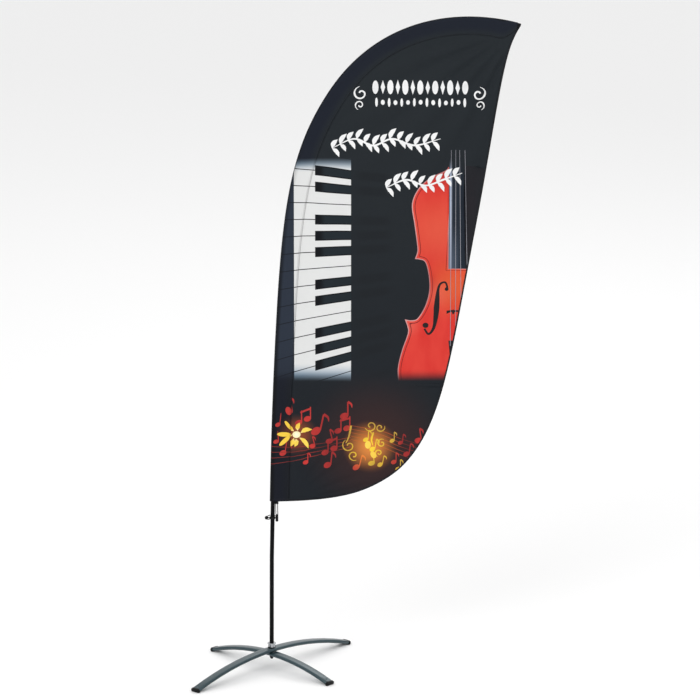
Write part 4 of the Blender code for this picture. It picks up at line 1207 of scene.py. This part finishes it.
def sleeve_section(length, half):
    """A drop-shaped section from the seam round the pole and back: (distance in from the edge, y)."""
    reach = length - half
    turn = math.acos(min(1.0, max(-1.0, (half - SEAM_HALF) / reach)))
    tangent = (half + half * math.cos(turn), half * math.sin(turn))
    out = []
    for k in range(FLAT_COLUMNS):
        t = k / FLAT_COLUMNS
        out.append((length + (tangent[0] - length) * t, SEAM_HALF + (tangent[1] - SEAM_HALF) * t))
    for k in range(ROUND_COLUMNS + 1):
        a = turn + (2 * math.pi - 2 * turn) * k / ROUND_COLUMNS
        out.append((half + half * math.cos(a), half * math.sin(a)))
    return out + [(s, -y) for s, y in reversed(out[:FLAT_COLUMNS])]


def make_sleeve():
    """The sleeve round the pole, sewn to the panel's edge, a little puckered along its seam."""
    sections = []
    for edge, sewn in zip(leading, seam):
        length = float(np.linalg.norm(sewn - edge))
        sections.append((edge, (sewn - edge) / length, sleeve_section(length, sleeve_half)))
    columns = len(sections[0][2]) - 1

    def flat(i, j):
        edge, inward, profile = sections[i]
        s, y = profile[j]
        return edge + inward * s, y

    def place(i, j):
        (x, z), y = flat(i, j)
        near_seam = min(j, columns - j) / FLAT_COLUMNS
        pucker = noise.noise((i * 0.21, 7.7, 0.0 if j < columns / 2 else 3.0)) * 0.5
        pucker += noise.noise((i * 0.9, 1.3, j * 0.25)) * 0.35
        give = 0.55 * MM * pucker * min(1.0, near_seam)
        return Vector((x, y - math.copysign(abs(give), y) if abs(y) > MM else y, z))

    def to_seam(i, j):
        s = sections[i][2][j][0]
        return (i * EDGE_STEP, sections[i][2][0][0] - s)

    def printed(i, j):
        (x, z), _ = flat(i, j)
        return flag_uv(x, z)

    bm = strip_grid(len(sections) - 1, columns, place, cloth=printed, seam_map=to_seam)
    centre = Vector((flag_middle[0], 0, flag_middle[1]))
    if sum((f.calc_center_median() - centre).dot(f.normal) for f in bm.faces) < 0:
        bmesh.ops.reverse_faces(bm, faces=bm.faces)
    material = printed_ground("printed_sleeve", SLEEVE_TONE, "seam_map")
    sleeve = add_piece("printed_sleeve", bm, [material], "pole", "sleeve_cloth", "pole_sleeve")
    full = sections[FULL_STATION][2]
    girth = sum(math.dist(a, b) for a, b in zip(full, full[1:]))
    return solidify(sleeve, CLOTH, -1.0), (girth, EDGE_STEP * (len(sections) - 1))


BINDING_WIDTH = 5.5 * MM
BINDING_HALF = 1.2 * MM


def make_binding():
    """A folded tape over the panel's free edge, with a line of stitches; it ripples with the cloth."""
    ahead = np.gradient(trailing, axis=0)
    ahead /= np.linalg.norm(ahead, axis=1)[:, None]
    inward = np.column_stack([ahead[:, 1], -ahead[:, 0]])
    if np.sum((flag_middle - trailing) * inward) < 0:
        inward = -inward
    outer_depth = cloth_depth(trailing)
    inner_depth = cloth_depth(trailing + inward * BINDING_WIDTH)
    profile = [(1.0, 0.75), (0.85, 0.95), (0.5, 1.0), (0.15, 1.0), (0.04, 0.8), (0.0, 0.0)]
    profile += [(s, -h) for s, h in reversed(profile[:-1])]

    def place(i, j):
        s, h = profile[j]
        x, z = trailing[i] + inward[i] * s * BINDING_WIDTH
        cloth = inner_depth[i] if s > 0.5 else outer_depth[i]
        return Vector((x, cloth + h * BINDING_HALF, z))

    def taped(i, j):
        return (i * EDGE_STEP, profile[j][0] * BINDING_WIDTH)

    bm = strip_grid(len(trailing) - 1, len(profile) - 1, place, cloth=taped)
    material = woven_tape("edge_tape", (0.005, 0.0055, 0.0075), 0.9, [4.2 * MM])
    binding = add_piece("edge_binding_tape", bm, [material], "pole", "webbing", "edge_binding")
    return solidify(binding, 0.35 * MM, 0.0)


def merged_copy(node):
    """A CAD node's shape as one closed skin with no needless edges."""
    bm = bmesh.new()
    bm.from_mesh(frame["nodes"][node].data)
    bmesh.ops.remove_doubles(bm, verts=bm.verts, dist=1e-6)
    bmesh.ops.dissolve_limit(bm, angle_limit=math.radians(0.6), verts=bm.verts, edges=bm.edges)
    return bm


def round_over(bm, geom, offset, segments, affect):
    """Rounds edges or corners over."""
    bmesh.ops.bevel(
        bm,
        geom=geom,
        offset=offset,
        offset_type="OFFSET",
        segments=segments,
        profile=0.5,
        affect=affect,
        material=-1,
        clamp_overlap=True,
    )


def refined(node, name, material, body, slot, edge):
    """A CAD node's own shape with its sharp edges eased."""
    bm = merged_copy(node)
    keen = [e for e in bm.edges if e.is_manifold and e.calc_face_angle(0) > math.radians(30)]
    round_over(bm, keen, edge, 2, "EDGES")
    return add_piece(name, bm, [material], body, slot, node)


def turned(node, name, material, body, slot, edge):
    """A round CAD node turned again from its own profile, with more steps and eased rims."""
    source = bmesh.new()
    source.from_mesh(frame["nodes"][node].data)
    bmesh.ops.remove_doubles(source, verts=source.verts, dist=1e-6)
    centre = middle(node)
    centre.z = 0
    far = max(source.verts, key=lambda v: (v.co - centre).xy.length)
    out = (far.co - centre).to_2d().normalized()

    def in_plane(v):
        offset = (v.co - centre).to_2d()
        return abs(offset.x * out.y - offset.y * out.x) < 0.02 * MM and offset.dot(out) > -0.01 * MM

    bm = bmesh.new()
    copies = {}
    for side in source.edges:
        off_axis = any((v.co - centre).xy.length > 0.01 * MM for v in side.verts)
        if off_axis and all(in_plane(v) for v in side.verts):
            for v in side.verts:
                copies[v] = copies.get(v) or bm.verts.new(v.co)
            bm.edges.new([copies[v] for v in side.verts])
    source.free()
    round_over(bm, [v for v in bm.verts if len(v.link_edges) == 2], edge, 3, "VERTICES")
    long = [e for e in bm.edges if e.calc_length() > 4 * edge]
    bmesh.ops.subdivide_edges(bm, edges=long, cuts=5)
    bmesh.ops.spin(
        bm,
        geom=bm.verts[:] + bm.edges[:],
        cent=centre,
        axis=(0, 0, 1),
        angle=2 * math.pi,
        steps=72,
        use_merge=True,
    )
    return add_piece(name, closed(bm), [material], body, slot, node)


def soft_copy(node, name, material, ripple, seed):
    """A CAD node's shape in cloth: cut finer, rippled a little, with a flat map."""
    bm = merged_copy(node)
    bmesh.ops.triangulate(bm, faces=bm.faces)
    bmesh.ops.subdivide_edges(bm, edges=bm.edges, cuts=2, use_grid_fill=True)
    axes = {"use_axis_x": True, "use_axis_y": True, "use_axis_z": True}
    bmesh.ops.smooth_vert(bm, verts=bm.verts, factor=0.35, **axes)
    for v in bm.verts:
        v.co.y += ripple * noise.noise((v.co.x * 170 + seed, v.co.z * 150, seed))
    lay_map(bm, "cloth", lambda v: (v.co.x, v.co.z))
    return add_piece(name, bm, [material], "pole", "webbing", node)


def paint_node(node, material):
    """Gives a CAD node that stays as it is a better finish."""
    piece = frame["nodes"][node]
    if not piece.material_slots:
        piece.data.materials.append(material)
    for each in piece.material_slots:
        each.link = "OBJECT"
        each.material = material


panel = make_panel(print_materials())
sleeve, sleeve_flat = make_sleeve()
binding = make_binding()
tape = woven_tape("tab_webbing", (0.005, 0.0055, 0.0065), 1.1)
soft_copy("corner_tab", "corner_tab_webbing", tape, 0.5 * MM, 2.0)
soft_copy("tip_pocket", "tip_pocket_webbing", tape, 0.3 * MM, 5.0)
tuple(round(side, 3) for side in sleeve_flat)

# ---------------------------------------------------------------- the hard parts

leg = leg_paint()
black_cap = moulded("black_cap_plastic", (0.004, 0.0045, 0.005), 0.45, Specular_IOR_Level=0.12)
black_clip = moulded("black_clip_plastic", (0.004, 0.0045, 0.005), 0.40, 340, Specular_IOR_Level=0.14)
rubber = moulded("black_rubber", (0.005, 0.005, 0.0055), 0.75, 420, 0.00010, Specular_IOR_Level=0.2)
nylon = moulded("nylon_washer", (0.55, 0.54, 0.50), 0.45, 300)
zinc = metal("zinc_plate", (0.62, 0.63, 0.65), 0.30)
steel = metal("bearing_steel", (0.66, 0.67, 0.69), 0.16)
chrome = metal("chrome_plate", (0.46, 0.47, 0.49), 0.12, (1, 1, 6), 0.15)
blackened = metal("blackened_steel", (0.030, 0.031, 0.034), 0.38)
pole_black = fibreglass()
ferrule = metal("black_ferrule", (0.045, 0.047, 0.050), 0.34, (1, 1, 0.1))

for shaped, node, ending, material, body, slot, eased_by in (
    (refined, "lower_leg", "tube", leg, "stand", "leg_paint", 0.4),
    (refined, "upper_leg", "tube", leg, "swing_leg", "leg_paint", 0.4),
    (refined, "foot_cap_front_right", "moulded", black_cap, "stand", "cap_plastic", 0.4),
    (refined, "foot_cap_back_left", "moulded", black_cap, "stand", "cap_plastic", 0.4),
    (refined, "foot_cap_front_left", "moulded", black_cap, "swing_leg", "cap_plastic", 0.4),
    (refined, "foot_cap_back_right", "moulded", black_cap, "swing_leg", "cap_plastic", 0.4),
    (turned, "bearing_housing", "chromed", chrome, "stand", "chrome", 0.35),
    (turned, "spindle", "chromed", chrome, "rotor", "chrome", 0.25),
    (turned, "base_washer", "rubber", rubber, "stand", "washer_rubber", 0.4),
    (refined, "cap_nut", "plated", blackened, "stand", "zinc_steel", 0.3),
    (turned, "nut_washer", "plated", blackened, "stand", "zinc_steel", 0.2),
    (refined, "hook_clip", "moulded", black_clip, "pole", "clip_plastic", 0.3),
    (refined, "cord_lock_body", "moulded", black_clip, "pole", "clip_plastic", 0.25),
    (refined, "cord_lock_button", "moulded", black_clip, "lock_button", "clip_plastic", 0.25),
    (refined, "pole_tip_cap", "moulded", black_clip, "pole", "clip_plastic", 0.3),
):
    shaped(node, f"{node}_{ending}", material, body, slot, eased_by * MM)
refined("pole_base_section", "pole_base_tube", pole_black, "pole", "fibreglass", 0.3 * MM)

coil = merged_copy("cord_lock_spring")
spring = add_piece("cord_lock_coil", coil, [zinc], "pole", "zinc_steel", "cord_lock_spring")
press = next(joint for joint in frame["joints"] if joint["name"] == "button_press")
travel = max(abs(end) for end in press["range_m"])
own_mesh(spring)

for finish, nodes in (
    (pole_black, ("pole_second_section", "pole_third_section", "pole_tip_section")),
    (ferrule, [f"pole_ferrule_{k}" for k in (1, 2, 3)]),
    (steel, [f"bearing_ball_{k}" for k in range(1, 8)]),
    (steel, ("bearing_outer_race", "bearing_inner_race")),
    (zinc, ("hub_stud", "retaining_ring")),
    (nylon, ("leg_washer",)),
):
    for node in nodes:
        paint_node(node, finish)
